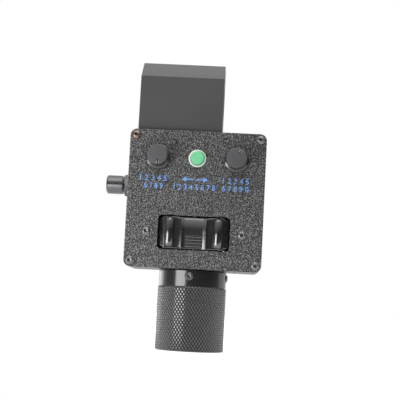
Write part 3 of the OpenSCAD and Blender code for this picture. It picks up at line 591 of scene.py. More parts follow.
def prism(outline, low, high, bend, holes=(), hole_bend=0.25):
    """A slab with rounded edges, and holes whose edges are rounded too."""
    points, faces, ends = [], [], ([], [])
    for ring, edge, way in [(outline, bend, -1)] + [(hole, hole_bend, 1) for hole in holes]:
        loops = [at(grown(ring, way * inset), height) for height, inset in edge_steps(low, high, edge)]
        more, sides = skin(loops, caps=False)
        first = len(points)
        points += more
        faces += [tuple(first + i for i in side) for side in sides]
        ends[0].append(range(first, first + len(ring)))
        ends[1].append(range(len(points) - len(ring), len(points)))
    for end in ends:
        order = [i for ring in end for i in ring]
        flat = geometry.tessellate_polygon([[Vector(points[i]) for i in ring] for ring in end])
        faces += [tuple(order[i] for i in corner) for corner in flat]
    return points, faces


def carried(shell, place):
    """The shell moved by a matrix."""
    return [place @ Vector(p) for p in shell[0]], shell[1]


def moved(shell, x=0, y=0, turn=0):
    """The shell turned about its own axis and put somewhere else on the same seat."""
    turning = Matrix.Rotation(math.radians(turn), 4, "Z")
    return carried(shell, Matrix.Translation((x, y, 0)) @ turning)


def repeated(shell, places):
    """The same shell at several (x, y, turn) places."""
    return [moved(shell, *place) for place in places]


print("shells ready")

# %% [markdown]
# ## From shells to a piece
#
# One maker turns shells into an object with its finish, hung on the body that it rides on, and
# hides the CAD nodes that it stands for. Holes are cut with Blender's exact Boolean. Shading is
# smooth except across sharp edges, and normals are weighted by area, so that flat faces look flat
# right up to their rounded edges.


# %% The piece maker
def mesh_of(name, shells, where):
    made = bmesh.new()
    for points, faces in shells:
        corners = [made.verts.new(where @ Vector(p)) for p in points]
        for face in faces:
            made.faces.new([corners[i] for i in face])
    bmesh.ops.remove_doubles(made, verts=made.verts, dist=2e-6)
    bmesh.ops.recalc_face_normals(made, faces=made.faces)
    mesh = bpy.data.meshes.new(name)
    made.to_mesh(mesh)
    made.free()
    return mesh


def new_object(name, data):
    made = bpy.data.objects.new(name, data)
    bpy.context.scene.collection.objects.link(made)
    return made


def as_mesh(made):
    """The mesh of a text, or of an object with what its modifiers do."""
    return bpy.data.meshes.new_from_object(made.evaluated_get(bpy.context.evaluated_depsgraph_get()))


def carve(piece, mesh):
    """Cuts a closed mesh out of a piece."""
    tool = new_object("tool", mesh)
    cut = piece.modifiers.new("cut", "BOOLEAN")
    cut.object, cut.operation, cut.solver = tool, "DIFFERENCE", "EXACT"
    carved = as_mesh(piece)
    piece.modifiers.clear()
    piece.data = carved
    bpy.data.objects.remove(tool)


def make(name, shells, where, nodes, cuts=(), finish=None, sharp=38, body=None):
    """A piece that stands for CAD nodes or, where a body is named, a mark that rides on that body."""
    piece = new_object(name, mesh_of(name, shells, where))
    for cut in cuts:
        carve(piece, mesh_of("tool", [cut], where))
    piece.data.shade_smooth()
    piece.data.set_sharp_from_angle(angle=math.radians(sharp))
    even = piece.modifiers.new("even_normals", "WEIGHTED_NORMAL")
    even.keep_sharp = True
    slot = slot_of[nodes[0]]
    piece.data.materials.clear()
    piece.data.materials.append(finish or finishes[slot])
    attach(piece, body or body_of[nodes[0]])
    if body is None:
        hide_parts(*nodes)
    stands_for = ", ".join(nodes) if body is None else "a mark"
    print(f"{name}: {len(piece.data.polygons)} faces, stands for {stands_for}")


print("piece maker ready")

# %% [markdown]
# ## Front plate and box
#
# The plate is a painted lid with a window for the rocker. Its outer edge is softly rounded by the
# thick paint. The box behind it is a casting, open at the front, with larger rounding at the back.
# The outer walls of both stay a hundredth of a millimetre inside those of the CAD model.

# %% Front plate
INSIDE = 0.01
PLATE_R, PLATE_BEND, HOLE_BEND = 4.5, 0.8, 0.35
WINDOW_W, WINDOW_H, WINDOW_R, WINDOW_SCREW_X = 48, 22.8, 2.6, 32
BARREL_HOLE, SCREW_HOLE, SHAFT_HOLE = 5.8, 1.7, 3.7
corner_places = at_corners(SCREW_X, SCREW_Z)
window_places = [(x, ROCKER_Z) for x in (-WINDOW_SCREW_X, WINDOW_SCREW_X)]
plate_holes = [rectangle(WINDOW_W, WINDOW_H, WINDOW_R, 0, ROCKER_Z), circle(BARREL_HOLE, 0, CONTROL_Z)]
plate_holes += [circle(SCREW_HOLE, x, z, 32) for x, z in corner_places + window_places]
plate_holes += [circle(SHAFT_HOLE, x, CONTROL_Z, 48) for x in (-KNOB_X, KNOB_X)]
outside = rectangle(BOX_W - 2 * INSIDE, BOX_H - 2 * INSIDE, PLATE_R)
plate = prism(outside, -PLATE_T, 0, PLATE_BEND, plate_holes, HOLE_BEND)
make("front_panel", [plate], FRONT, ["front_plate"])

# %% Box
BOX_D, WALL, INNER_R, BACK_BEND, MOUTH_BEND = BACK_Y - PLATE_T, 2.5, 3.25, 1.6, 0.3
SOCKET_HOLE, CUT_LOW, CUT_HIGH = 8.3, -4, 1
inside = rectangle(BOX_W - 2 * WALL, BOX_H - 2 * WALL, INNER_R)
back_edge = [step for step in edge_steps(-BOX_D, 0, BACK_BEND) if step[0] > -BOX_D + BACK_BEND]
box_loops = [at(inside, -WALL), at(inside, -BOX_D)]
box_loops += [at(grown(outside, -MOUTH_BEND), -BOX_D), at(outside, -BOX_D + MOUTH_BEND)]
box_loops += [at(grown(outside, -inset), height) for height, inset in back_edge]
socket_cut = lathe([(0, CUT_LOW), (SOCKET_HOLE, CUT_LOW), (SOCKET_HOLE, CUT_HIGH), (0, CUT_HIGH)])
socket_cut = moved(socket_cut, -SOCKET_X, SOCKET_Z)
make("box_casting", [skin(box_loops)], BACK, ["box_body"], cuts=[socket_cut])

# %% [markdown]
# ## Screws
#
# Each screw is a button head: a low dome with a hex socket. A dome is a lathe's work, but the socket
# has six sides. So every loop, round or hexagonal, has the same count of points, and one skin
# runs over the dome, across the chamfer of the socket, down its walls and to the cone at its floor.
# All the sizes of a head are shares of the thread's radius.

# %% Button-head screws
SCREW_SIDES = 48
M3_R, CORNER_SCREW, WINDOW_SCREW = 1.5, 12, 6.5


def hex_loop(flats, height):
    return at(hexagon(flats, SCREW_SIDES), height)


def button_screw(r, length):
    wide, tall, key = 1.9 * r, 1.1 * r, 1.5 * r
    rim = tall / 4
    ball = (wide ** 2 + (tall - rim) ** 2) / (2 * (tall - rim))
    top = math.asin(0.98 * key / math.sqrt(3) * 1.12 / ball)
    full = math.asin(wide / ball)
    profile = [(0, -length), (0.8 * r, -length), (r, -length + 0.2 * r), (r, 0)]
    profile += [(wide - 0.06 * r, 0), (wide, 0.06 * r)]
    for k in range(9):
        a = full + (top - full) * k / 8
        profile.append((ball * math.sin(a), tall - ball + ball * math.cos(a)))
    lip = profile[-1][1]
    key_hole = [hex_loop(key * 1.02, lip - 0.05 * r), hex_loop(key, lip - 0.12 * r), hex_loop(key, rim)]
    cone = turned([(0, rim - 0.2 * r)], SCREW_SIDES)
    return skin(turned(profile, SCREW_SIDES) + key_hole + cone, caps=False)


def socket_shade_plug(r):
    """Painted shade at the bottom of a socket: a dark plug with a hollow top that darkens its depth."""
    low, key = 0.275 * r, 1.49 * r
    foot, hollow = turned([(0, low), (0, low + 0.18 * r)], SCREW_SIDES)
    return skin([foot, hex_loop(key, low), hex_loop(key, low + 0.32 * r), hollow], caps=False)


def tightened(places, step, first=0):
    """Places with a turn each, because screws end up at all angles."""
    return [(x, y, first + step * i) for i, (x, y) in enumerate(places)]


corner_turns = tightened(corner_places, 23)
window_turns = tightened(window_places, 31, 14)
make("corner_screws", repeated(button_screw(M3_R, CORNER_SCREW), corner_turns), FRONT, ["plate_screws"])
make("window_screws", repeated(button_screw(M3_R, WINDOW_SCREW), window_turns), FRONT, ["rocker_screws"])
# Painted shade: a dark plug in each hex socket darkens its depth.
make("front_socket_shade", repeated(socket_shade_plug(M3_R), corner_turns + window_turns), FRONT, ["plate_screws"],
     finish=finishes["gloss_black"], body="controller_box")

# %% [markdown]
# ## Printed marks
#
# Blue marks are printed under the knobs and the button. Here they are generic: plain numbers, and an
# arrow each way for the button. Blender's own font draws the numbers. Each row is set as a curve,
# turned into a mesh, stretched to its width and height on the plate and laid on the paint as a film.

# %% Printed marks
FILM_LOW, FILM_TOP = 0.01, 0.06
UPPER, LOWER = (11.6, 15.5), (6.4, 10.2)


def blue_ink():
    ink = Finish("blue_ink", IOR=1.5)
    # The ink is paler and rougher on the tops of the folds.
    fold_tops = ink.ramp(folds(ink), 0.36, 0.62)
    tone = ink.mix(fold_tops, (0.10, 0.23, 0.60), (0.24, 0.48, 0.93))
    return ink.done(tone, 0.45 + fold_tops * 0.1, fold_tops, 0.2)


def printed(words, x0, x1, z0, z1):
    """A row of numbers as a thin shell on the front plate."""
    curve = bpy.data.curves.new("row", "FONT")
    curve.body, curve.extrude, curve.offset, curve.resolution_u = words, 0.02, 0.012, 4
    row = new_object("row", curve)
    bpy.context.view_layer.update()
    flat = as_mesh(row)
    spots = [v.co.copy() for v in flat.vertices]
    shapes = [tuple(side.vertices) for side in flat.polygons]
    bpy.data.objects.remove(row)
    low = Vector([min(p[k] for p in spots) for k in range(3)])
    size = Vector([max(p[k] for p in spots) for k in range(3)]) - low
    start, stop = (x0, z0, FILM_LOW), (x1, z1, FILM_TOP)
    laid = [[start[k] + (stop[k] - start[k]) * (p[k] - low[k]) / size[k] for k in range(3)] for p in spots]
    return laid, shapes


def arrow(x0, x1, z0, z1):
    """An arrow that points from x0 to x1."""
    middle, half, way = (z0 + z1) / 2, (z1 - z0) / 2, math.copysign(1, x1 - x0)
    neck, shaft = x1 - way * 1.6 * half, 0.22 * half
    outline = [(x0, middle - shaft), (neck, middle - shaft), (neck, z0), (x1, middle), (neck, z1),
               (neck, middle + shaft), (x0, middle + shaft)]
    return skin([at(outline, h) for h in (FILM_LOW, FILM_TOP)])


ink_rows = [printed("1 2 3 4 5", -37.8, -19.8, *UPPER), printed("6 7 8 9", -35.0, -22.4, *LOWER)]
ink_rows += [arrow(-1.9, -9.8, *UPPER), arrow(-0.1, 7.8, *UPPER)]
ink_rows += [printed("1 2 3 4 5 6 7 8", -15.0, 12.8, *LOWER)]
ink_rows += [printed("1 2 3 4 5", 17.7, 35.2, *UPPER), printed("6 7 8 9 0", 17.2, 35.2, *LOWER)]
make("plate_marks", ink_rows, FRONT, ["front_plate"], finish=blue_ink(), body="controller_box")

# %% [markdown]
# ## Front knobs
#
# A knob is a moulded barrel with grooves for the fingertips, a skirt at its foot and a low domed cap
# with a pointer. The grooves are part of each loop: where the loop meets a groove, its radius dips
# by the groove's own circle.

# %% Barrel and cap
KNOB_SIDES, FLUTES, GROOVE_R = 240, 24, 0.5
KNOB_R, BARREL_LOW, BARREL_TOP, FLUTE_FOOT, FLUTE_LOW = 6.8, 3.42, 11.8, 3.8, 3.95
SKIRT_R, SKIRT_LOW, SKIRT_EDGE, SKIRT_HOLLOW, SHAFT_STOP = 8.4, 0.6, 2.73, 6.1, 2.5
PLUG_R, PLUG_LOW, PLUG_GAP = 3.5, 10.6, 0.03
CAP_LOW, CAP_RIM, CAP_TOP, CAP_BEND = 11.82, 12.88, 13.18, 0.4


def fluted(r):
    """A circle with round grooves, whose own circles have their middles just outside it."""
    middle = r + GROOVE_R / 3

    def reach(a):
        off = off_middle(a, FLUTES)
        aside = middle * math.sin(off)
        if abs(aside) >= GROOVE_R:
            return r
        return min(r, middle * math.cos(off) - math.sqrt(GROOVE_R ** 2 - aside ** 2))

    return polar(reach, KNOB_SIDES)


def knob_shell():
    """The hollow under the skirt, the skirt, the fluted barrel and the hole for the cap's plug."""
    foot = [(0, SHAFT_STOP, 0), (SKIRT_HOLLOW, SHAFT_STOP, 0), (SKIRT_HOLLOW, SKIRT_LOW, 0)]
    foot += [(SKIRT_R, SKIRT_LOW, 0.25), (SKIRT_R, SKIRT_EDGE, 0.45), (KNOB_R, BARREL_LOW, 0.35)]
    foot += [(KNOB_R, FLUTE_FOOT, 0)]
    loops = turned(rounded(foot, 4), KNOB_SIDES)
    loops += [at(fluted(KNOB_R), h) for h in (FLUTE_LOW, BARREL_TOP)]
    hole = PLUG_R + PLUG_GAP
    loops += turned([(hole, BARREL_TOP), (hole, PLUG_LOW), (0, PLUG_LOW)], KNOB_SIDES)
    return skin(loops, caps=False)


def cap_shell():
    """A plug, a fluted rim with a round edge and a low dome."""
    loops = turned([(0, PLUG_LOW), (PLUG_R, PLUG_LOW), (PLUG_R, CAP_LOW)], KNOB_SIDES)
    loops.append(at(fluted(KNOB_R), CAP_LOW))
    loops += [at(fluted(KNOB_R - inset), CAP_RIM - back) for inset, back in bends(CAP_BEND, 5)]
    dome_r, dome = KNOB_R - CAP_BEND, CAP_TOP - CAP_RIM
    loops += turned([(r, CAP_TOP - dome * (r / dome_r) ** 2) for r in (5.8, 4.6, 3.2, 1.6, 0)], KNOB_SIDES)
    return skin(loops, caps=False)


print("knob", 2 * SKIRT_R, "mm wide at its skirt,", CAP_TOP, "mm high")

# %% [markdown]
# ## Pointers
#
# A pointer is cut into the cap, black, with a painted highlight on each side: a pale line that
# stands for the light on the cut's edges. The left one points almost straight down and the right
# one up to the right. Cut, inlay and highlight lines are drawn along X and then turned to the
# pointer's angle.


# %% Two knobs with pointers
def bar(x0, x1, y0, y1, z0, z1):
    return skin([at([(x0, y0), (x1, y0), (x1, y1), (x0, y1)], z) for z in (z0, z1)])


LEFT_POINTER, RIGHT_POINTER = 275, 61
pointer_cut = bar(3.4, 7.5, -0.44, 0.44, 12.74, 14)
inlay = bar(3.45, 6.4, -0.43, 0.43, 12.7, 12.82)
# Painted highlights: a pale line on each side of the pointer, where its edges would catch the light.
highlight_lines = [bar(4.3, 6.1, y, y + 0.24, 12.8, 13.1) for y in (-0.70, 0.46)]
for side, x, pointer in (("left", -KNOB_X, LEFT_POINTER), ("right", KNOB_X, RIGHT_POINTER)):
    here = FRONT @ Matrix.Translation((x, CONTROL_Z, 0))
    body = f"{side}_knob"
    make(f"{side}_barrel", [knob_shell()], here, [body])
    make(f"{side}_cap", [cap_shell()], here, [f"{side}_knob_cap"], cuts=[moved(pointer_cut, turn=pointer)])
    make(f"{side}_pointer", [moved(inlay, turn=pointer)], here, [body],
         finish=finishes["gloss_black"], body=body)
    make(f"{side}_pointer_highlight_lines", [moved(line, turn=pointer) for line in highlight_lines], here, [body],
         finish=finishes["painted_highlight_line"], body=body)

# %% [markdown]
# ## Button
#
# The button's white ring is the head of a threaded barrel that a nut holds behind the plate. The
# green cap slides inside it. Both are small mouldings with soft edges.

# %% Button
RING_R, RING_TOP, RING_HOLE, THREAD_R, THREAD_END, THREAD_BORE, LEDGE = 5.9, 1.6, 4.56, 5.6, -13, 4.94, -3.58
BUTTON_R, BUTTON_TOP, FOOT_R, FOOT_TOP, FOOT_END = 4.5, 4.2, 4.9, -3.6, -6.1
button_seat = FRONT @ Matrix.Translation((0, CONTROL_Z, 0))
white_ring = hollow_lathe([
    (THREAD_BORE, THREAD_END, 0), (THREAD_R, THREAD_END, 0), (THREAD_R, 0.02, 0), (RING_R, 0.02, 0.08),
    (RING_R, RING_TOP, 0.5), (4.9, RING_TOP, 0.35), (RING_HOLE, 0.6, 0), (RING_HOLE, LEDGE, 0),
    (THREAD_BORE, LEDGE, 0)])
make("button_ring", [white_ring], button_seat, ["button_barrel"])
green_cap = lathe(rounded([
    (0, FOOT_END, 0), (FOOT_R, FOOT_END, 0), (FOOT_R, FOOT_TOP, 0), (BUTTON_R, FOOT_TOP, 0),
    (BUTTON_R, 4.13, 0.68), (2.0, 4.19, 0), (0, BUTTON_TOP, 0)]))
make("button_cap", [green_cap], button_seat, ["push_button"])

# %% [markdown]
# ## Side knob
#
# The third knob sits on the left wall, on a washer and a plated hex nut. It is a plain turned rod:
# its fine tool rings throw the light out sideways, into bands along the knob. The nut's outer face
# is turned to a cone, so its corners end in arcs; each loop is a hexagon clipped by a circle.

# %% Side knob
NUT_SIDES, NUT_FLATS, NUT_HOLE, NUT_LOW, NUT_TOP, NUT_BEVEL, NUT_TURN = 96, 14.6, 3.55, 0.9, 4.9, 0.5, 20
CONE_SHARE, CONE_SLOPE, CONE_STEPS = 0.42, 1.6, (1.9, 1.7, 1.5, 1.3, 1.1, 0.9, 0.6, 0.3, 0)
ROD_R, ROD_FOOT, ROD_TOP, BORE_R, BORE_END, MOUTH_R, MOUTH_END = 6.5, 5.5, 16.69, 3.02, 15.1, 3.9, 5.8


def nut_shell():
    def clipped(limit, height):
        return at([p * min(1, limit / p.length) for p in hexagon(NUT_FLATS, NUT_SIDES)], height)

    hole = [(NUT_HOLE + NUT_BEVEL, NUT_TOP), (NUT_HOLE, NUT_TOP - NUT_BEVEL), (NUT_HOLE, NUT_LOW)]
    hole = turned(hole, NUT_SIDES)
    loops = [hole[-1], clipped(NUT_FLATS, NUT_LOW)]
    loops += [clipped(CONE_SHARE * NUT_FLATS + CONE_SLOPE * deep, NUT_TOP - deep) for deep in CONE_STEPS]
    return skin(loops + hole, caps=False)


washer = hollow_lathe([(3.7, 0, 0), (8.6, 0, 0.1), (8.6, NUT_LOW, 0.15), (3.7, NUT_LOW, 0)])
make("side_washer_disc", [washer], LEFT, ["side_washer"], finish=finishes["plated"])
nut = moved(nut_shell(), turn=NUT_TURN)
make("side_hex", [nut], LEFT, ["side_nut"], finish=finishes["plated"], sharp=25)
rod = rounded([
    (0, BORE_END, 0), (BORE_R, BORE_END, 0), (BORE_R, MOUTH_END, 0), (MOUTH_R, MOUTH_END, 0),
    (MOUTH_R, ROD_FOOT, 0), (ROD_R, ROD_FOOT, 0.25), (ROD_R, 15.67, 0.2), (5.65, ROD_TOP, 0.3),
    (0, ROD_TOP, 0)], 3)
make("side_barrel", [lathe(rod, 128)], LEFT, ["side_knob"], finish=finishes["gunmetal"])

# %% [markdown]
# ## Zoom rocker
#
# The rocker is one glossy moulding: a bar that fills the window, two upright humps for the fingertips
# and a thumb rest between them. The rest is hollowed from side to side, leans and rolls back at its
# upper edge and has low ribs on its lower half. The bar is a stack of outlines, each a section of the
# rocker seen from above. Near its ends the bar's front falls away, and the ends themselves follow an
# arc round the pivot, so that they clear the window as the rocker tilts.

# %% Thumb rest and bar
WINDOW_GAP, PIVOT_Y = 0.6, 9.5
ROCKER_TALL = WINDOW_H - 2 * WINDOW_GAP
REACH = math.hypot(WINDOW_W / 2 - WINDOW_GAP, PIVOT_Y - PLATE_T)
BAR_FRONT, BAR_BACK, BAR_BEND, BAR_DROP, BAR_CORNER = 0.4, 4.5, 0.6, 2.2, 3.8
BAR_FLAT_X, SLOPE_X, END_BEND = 12.5, 19.7, 0.35
HALF_WIDE = math.sqrt(REACH ** 2 - (PIVOT_Y - BAR_BACK) ** 2)
REST_HALF, REST_FLAT, REST_Y, REST_RISE, REST_SIDE_R, REST_EDGE = 8.5, 5.21, -0.8, 1, 4.4, 0.4
REST_END, TOP_ROLL, LOW_ROLL, LEAN_FROM, LEAN_R = 10.6, 0.8, 0.35, 2, 19
RIBS, RIB_GAP, RIB_HALF, RIB_HIGH, RIB_END, RIB_FADE = 4, 2.16, 0.75, 0.10, 6, 0.5


def rolled(z, half, bend):
    """How far a surface has rolled back at a height near its end."""
    over = min(bend, max(0, abs(z) - (half - bend)))
    return bend - math.sqrt(bend * bend - over * over)


def rib_swell(x, z):
    """Height of the ribs at a place on the rest."""
    nearest = min(abs(z + RIB_GAP * i) for i in range(1, RIBS + 1))
    fade = min(1, max(0, (RIB_END - abs(x)) / RIB_FADE))
    return RIB_HIGH * max(0, 1 - (nearest / RIB_HALF) ** 2) * fade


def rest_front(x, z):
    """How far back the thumb rest's surface lies."""
    rise = max(0, x - REST_FLAT)
    hollow = REST_Y - (REST_SIDE_R - math.sqrt(REST_SIDE_R ** 2 - rise ** 2))
    roll = rolled(z, REST_END, TOP_ROLL if z > 0 else LOW_ROLL)
    lean = max(0, z - LEAN_FROM) ** 2 / (2 * LEAN_R)
    return max(hollow, REST_Y - REST_RISE) - rib_swell(x, z) + roll + lean


def bar_section(z):
    """Half of the rocker's section at one height, from the middle of the rest to the back of the bar."""
    floor_y = BAR_FRONT + rolled(z, ROCKER_TALL / 2, BAR_BEND)
    wide = HALF_WIDE - rolled(z, ROCKER_TALL / 2, BAR_CORNER)
    across = [0.4 * k for k in range(14)] + [REST_FLAT + 0.35 * k for k in range(1, 9)]
    half = [(x, rest_front(x, z)) for x in across]
    rim = half[-1][1]
    half += [(REST_HALF - inset, rim + back) for back, inset in bends(REST_EDGE, 5)[1:]]
    foot = max(floor_y, rim + 2 * REST_EDGE)
    half += [(REST_HALF, max(rim + REST_EDGE, foot - REST_EDGE)), (REST_HALF + 0.15, foot - 0.12)]
    half += [(REST_HALF + 0.45, foot), (BAR_FLAT_X, floor_y), (SLOPE_X, floor_y)]
    half += [(SLOPE_X + 0.25, floor_y + 0.03), (SLOPE_X + 0.45, floor_y + 0.14)]
    edge = floor_y + BAR_DROP
    for share in (0.0, 0.25, 0.5, 0.75, 1.0):
        y = edge + END_BEND * share ** 2 + (BAR_BACK - edge - END_BEND) * max(0, share - 0.5) * 2
        inset = END_BEND * (1 - min(1, 2 * share)) ** 2
        half.append((min(wide, math.sqrt(REACH ** 2 - (PIVOT_Y - y) ** 2)) - inset, y))
    return half


def bar_loop(z):
    half = bar_section(z)
    return at([(-x, y) for x, y in reversed(half)] + half[1:], z)


# The ribs and the roll at the top need heights that lie closer together.
even_levels = {round(ROCKER_TALL / 2 * math.sin(math.pi / 2 * k / 36), 3) for k in range(-36, 37)}
rib_levels = {round(-1.4 - 0.2 * k, 3) for k in range(41)}
roll_levels = {round(6.2 + 0.25 * k, 3) for k in range(18)}
bar_levels = sorted(even_levels | rib_levels | roll_levels)
print("rocker bar", round(2 * HALF_WIDE, 2), "by", ROCKER_TALL, "mm, drawn at", len(bar_levels), "heights")

# %% [markdown]
# ## Humps
#
# Each hump is a stack too: an arch whose radius shrinks towards both ends, as a pill does, with a
# small fillet at its foot. Its crown falls back towards both ends, and more so towards the upper one.

# %% Humps and the whole rocker
HUMP_X, HUMP_R, HUMP_Y, HUMP_HALF, HUMP_POWER, HUMP_LEAST = 16.2, 3.1, -2.9, 10.3, 13, 0.0004
CROWN_TOP_R, CROWN_LOW_R, FILLET, FILLET_SINK, HUMP_ROOT = 30, 60, 0.45, 0.1, 1


def hump_loop(z):
    """An arch at one height: up its right side, over the crown and down its left side, with flared feet."""
    r = HUMP_R * math.sqrt(max(HUMP_LEAST, 1 - (abs(z) / HUMP_HALF) ** HUMP_POWER))
    crown = HUMP_Y + z * z / (2 * (CROWN_TOP_R if z > 0 else CROWN_LOW_R))
    arch = [(r * math.cos(a), crown - r * math.sin(a)) for a in [math.pi * k / 28 for k in range(29)]]
    foot_y = BAR_FRONT + FILLET_SINK
    foot = [(r + out, foot_y - back) for out, back in bends(FILLET, 5)]
    foot.append((r + FILLET, BAR_FRONT + HUMP_ROOT))
    return at(foot[::-1] + arch + [(-x, y) for x, y in foot], z)


hump = skin([hump_loop(HUMP_HALF * math.sin(math.pi / 2 * k / 40)) for k in range(-40, 41)])
rocker_shells = [skin([bar_loop(z) for z in bar_levels]), moved(hump, -HUMP_X), moved(hump, HUMP_X)]
rocker_seat = seat(PANEL + Vector((0, 0, ROCKER_Z)), (1, 0, 0), (0, 1, 0))
make("rocker_cap", rocker_shells, rocker_seat, ["zoom_rocker"], sharp=60)

# %% [markdown]
# ## Knurl
#
# The drum's collar is plain turned metal and its grip is knurled: two sets of helical grooves cross
# at about 33 degrees from the axis and leave rows of small diamonds. A bump map would leave the
# outline smooth, so the knurl is real geometry. The grid of points is chosen so that every groove
# runs along the diagonals of the grid, which keeps the diamonds crisp with few faces.

# %% Knurl
KNURL_DEPTH, AROUND = 0.45, TEETH * FINE


def on_flat(count):
    """Height of the knurl, from 0 in a groove to 1 on a diamond's flat, at a point of the grid."""
    share = count % FINE / FINE
    return min(1, GROOVE_SHARE * min(share, 1 - share))


def knurl():
    points, faces = [], []
    for j in range(KNURL_ROWS + 1):
        for i in range(AROUND):
            a = 2 * math.pi * i / AROUND
            r = DRUM_R - INSIDE - KNURL_DEPTH * (1 - min(on_flat(i + j), on_flat(i - j)))
            points.append((r * math.cos(a), r * math.sin(a), KNURL_LOW + j * PITCH / FINE))
    for j in range(KNURL_ROWS):
        for i in range(AROUND):
            a, b = j * AROUND + i, j * AROUND + (i + 1) % AROUND
            c, d = b + AROUND, a + AROUND
            if (i - j) % FINE == 0:
                faces += [(a, b, c), (a, c, d)]
            elif (i + j + 1) % FINE == 0:
                faces += [(a, b, d), (b, c, d)]
            else:
                faces.append((a, b, c, d))
    return points, faces


print("knurl grid:", AROUND, "by", KNURL_ROWS + 1, "points")

# %% [markdown]
# ## Drum
#
# From the knurl's two edges the skin runs on over circles: up over the collar into the recess at the
# top, and round the lower edge into the hollow. A disc closes the hollow. Two screws, a quarter turn
# apart, sit in the collar.

# %% Drum
COLLAR_R, COLLAR_TOP, RECESS_R, RECESS_Z, HOLLOW_R, HOLLOW_Z = 23.0, -0.6, 6.17, -2.5, 19.1, -16.6
END_Z, DISC_Z, DISC_R, DISC_SEAT = DRUM_END + INSIDE, DRUM_END + 4, 19.88, 19.9
COLLAR_SCREW, SCREW_DOWN, SCREW_OUT, COLLAR_TURNS = 19.58, -4.6, 22.6, (-94, -4)


def drum_shell():
    points, faces = knurl()

    def run_on(first, profile):
        """Carries the skin on from one ring of points over the circles of a profile."""
        for loop in turned(profile, AROUND):
            new = len(points)
            points.extend(loop)
            for k in range(AROUND):
                n = (k + 1) % AROUND
                faces.append((first + k, first + n, new + n, new + k))
            first = new

    run_on(KNURL_ROWS * AROUND, rounded([
        (22.8, -11.45, 0), (COLLAR_R, -11.2, 0), (COLLAR_R, COLLAR_TOP, 0.35),
        (RECESS_R, COLLAR_TOP, 0), (RECESS_R, RECESS_Z, 0), (0, RECESS_Z, 0)], 3))
    run_on(0, [(22.7, DRUM_END + 0.15), (22.4, END_Z), (DISC_SEAT, END_Z), (DISC_SEAT, DISC_Z),
               (HOLLOW_R, DISC_Z), (HOLLOW_R, HOLLOW_Z), (0, HOLLOW_Z)])
    return points, faces


def on_collar(shell):
    """The shell at both places on the collar, pointing outwards."""
    down, out = Matrix.Translation((0, 0, SCREW_DOWN)), Matrix.Translation((0, 0, SCREW_OUT))
    aside = Matrix.Rotation(math.radians(90), 4, "Y")
    turns = [Matrix.Rotation(math.radians(turn), 4, "Z") for turn in COLLAR_TURNS]
    return [carried(shell, down @ turn @ aside @ out) for turn in turns]


make("drum_grip", [drum_shell()], UNDER, ["focus_drum"], sharp=20)
end_disc = lathe(rounded([(0, END_Z, 0), (DISC_R, END_Z, 0.95), (DISC_R, DISC_Z, 0), (0, DISC_Z, 0)]))
make("drum_end_disc", [end_disc], UNDER, ["drum_end_cap"])
make("collar_screws", on_collar(button_screw(M3_R, COLLAR_SCREW)), UNDER, ["drum_screws"],
     finish=finishes["black_oxide"])
# Painted shade: a dark plug in each collar screw's socket darkens its depth.
make("collar_socket_shade", on_collar(socket_shade_plug(M3_R)), UNDER, ["drum_screws"],
     finish=finishes["gloss_black"], body="focus_drum")

# %% [markdown]
# ## Bar clamp
#
# The block above the box is machined aluminium with a smooth coat of paint. Its front half carries
# the slanted edge, and four screws from behind draw the rear half against the bar. Both halves are
# prisms along the bar, drawn from the side, with edges broken by about half a millimetre.

# %% Bar clamp
block_low, block_high, _ = extent("clamp_block")
rear_low, rear_high, _ = extent("clamp_cap")
CLAMP_TOP, SPLIT, CLAMP_BEND = block_high.z - INSIDE, rear_low.y, 0.45
BAR_R, SLANT_Y, SLANT_Z, REAR_BEVEL = 12.7, 16, 12.5, 3
BOLT_R, BOLT, BOLT_X, BOLT_Z = 2.5, 32, 20, 18.5
BAR = seat((0, 0, 0), (0, 1, 0), (0, 0, 1))
CLAMP_SEAT = seat((0, rear_high.y, 0), (-1, 0, 0), (0, 0, 1))


def bore(way):
    """The arc of the bar's bore in one half: -1 in front, drawn upwards, and 1 behind, drawn downwards."""
    reach = math.acos(SPLIT / BAR_R)
    turns = [reach * (1 - k / 24) for k in range(49)]
    return [(way * BAR_R * math.cos(a), way * BAR_R * math.sin(a)) for a in turns]


def clamp_half(outline):
    return prism([Vector(p) for p in outline], block_low.x, block_high.x, CLAMP_BEND)


front_half = clamp_half([(block_low.y, block_low.z), (-SPLIT, block_low.z)] + bore(-1) + [
    (-SPLIT, CLAMP_TOP), (block_low.y + SLANT_Y, CLAMP_TOP), (block_low.y, CLAMP_TOP - SLANT_Z)])
rear_half = clamp_half([(rear_high.y - REAR_BEVEL, CLAMP_TOP), (SPLIT, CLAMP_TOP)] + bore(1) + [
    (SPLIT, rear_low.z), (rear_high.y - REAR_BEVEL, rear_low.z), (rear_high.y, rear_low.z + REAR_BEVEL),
    (rear_high.y, CLAMP_TOP - REAR_BEVEL)])
make("clamp_front_half", [front_half], BAR, ["clamp_block"])
make("clamp_rear_half", [rear_half], BAR, ["clamp_cap"])
bolt_turns = tightened(at_corners(BOLT_X, BOLT_Z), 17)
make("clamp_bolts", repeated(button_screw(BOLT_R, BOLT), bolt_turns), CLAMP_SEAT, ["clamp_screws"])

# %% [markdown]
# ## Back of the box
#
# Four screws hold the board's stand-offs, and a round locking socket takes the lens lead. The
# socket is a flange with a sleeve, a black insert and gold contacts.

# %% Back of the box
STAND_X, STAND_Z, STAND_MIDDLE, STAND_SCREW = 28, 22, 10, 4.5
FLANGE_W, FLANGE_R, FLANGE_T, FLANGE_HOLE = 23, 2, 2.2, 7.4
EAR, EAR_HOLE, EAR_SCREW_R, EAR_SCREW, EAR_TURN = 8.8, 1.3, 1.1, 5.7, 8
SLEEVE_R, SLEEVE_BORE, SLEEVE_TOP, SLEEVE_LOW = 8.1, 6.62, 10.19, -8
INSERT_R, CONTACT_R, CONTACT_HOLE = 6.56, 3.96, 0.6

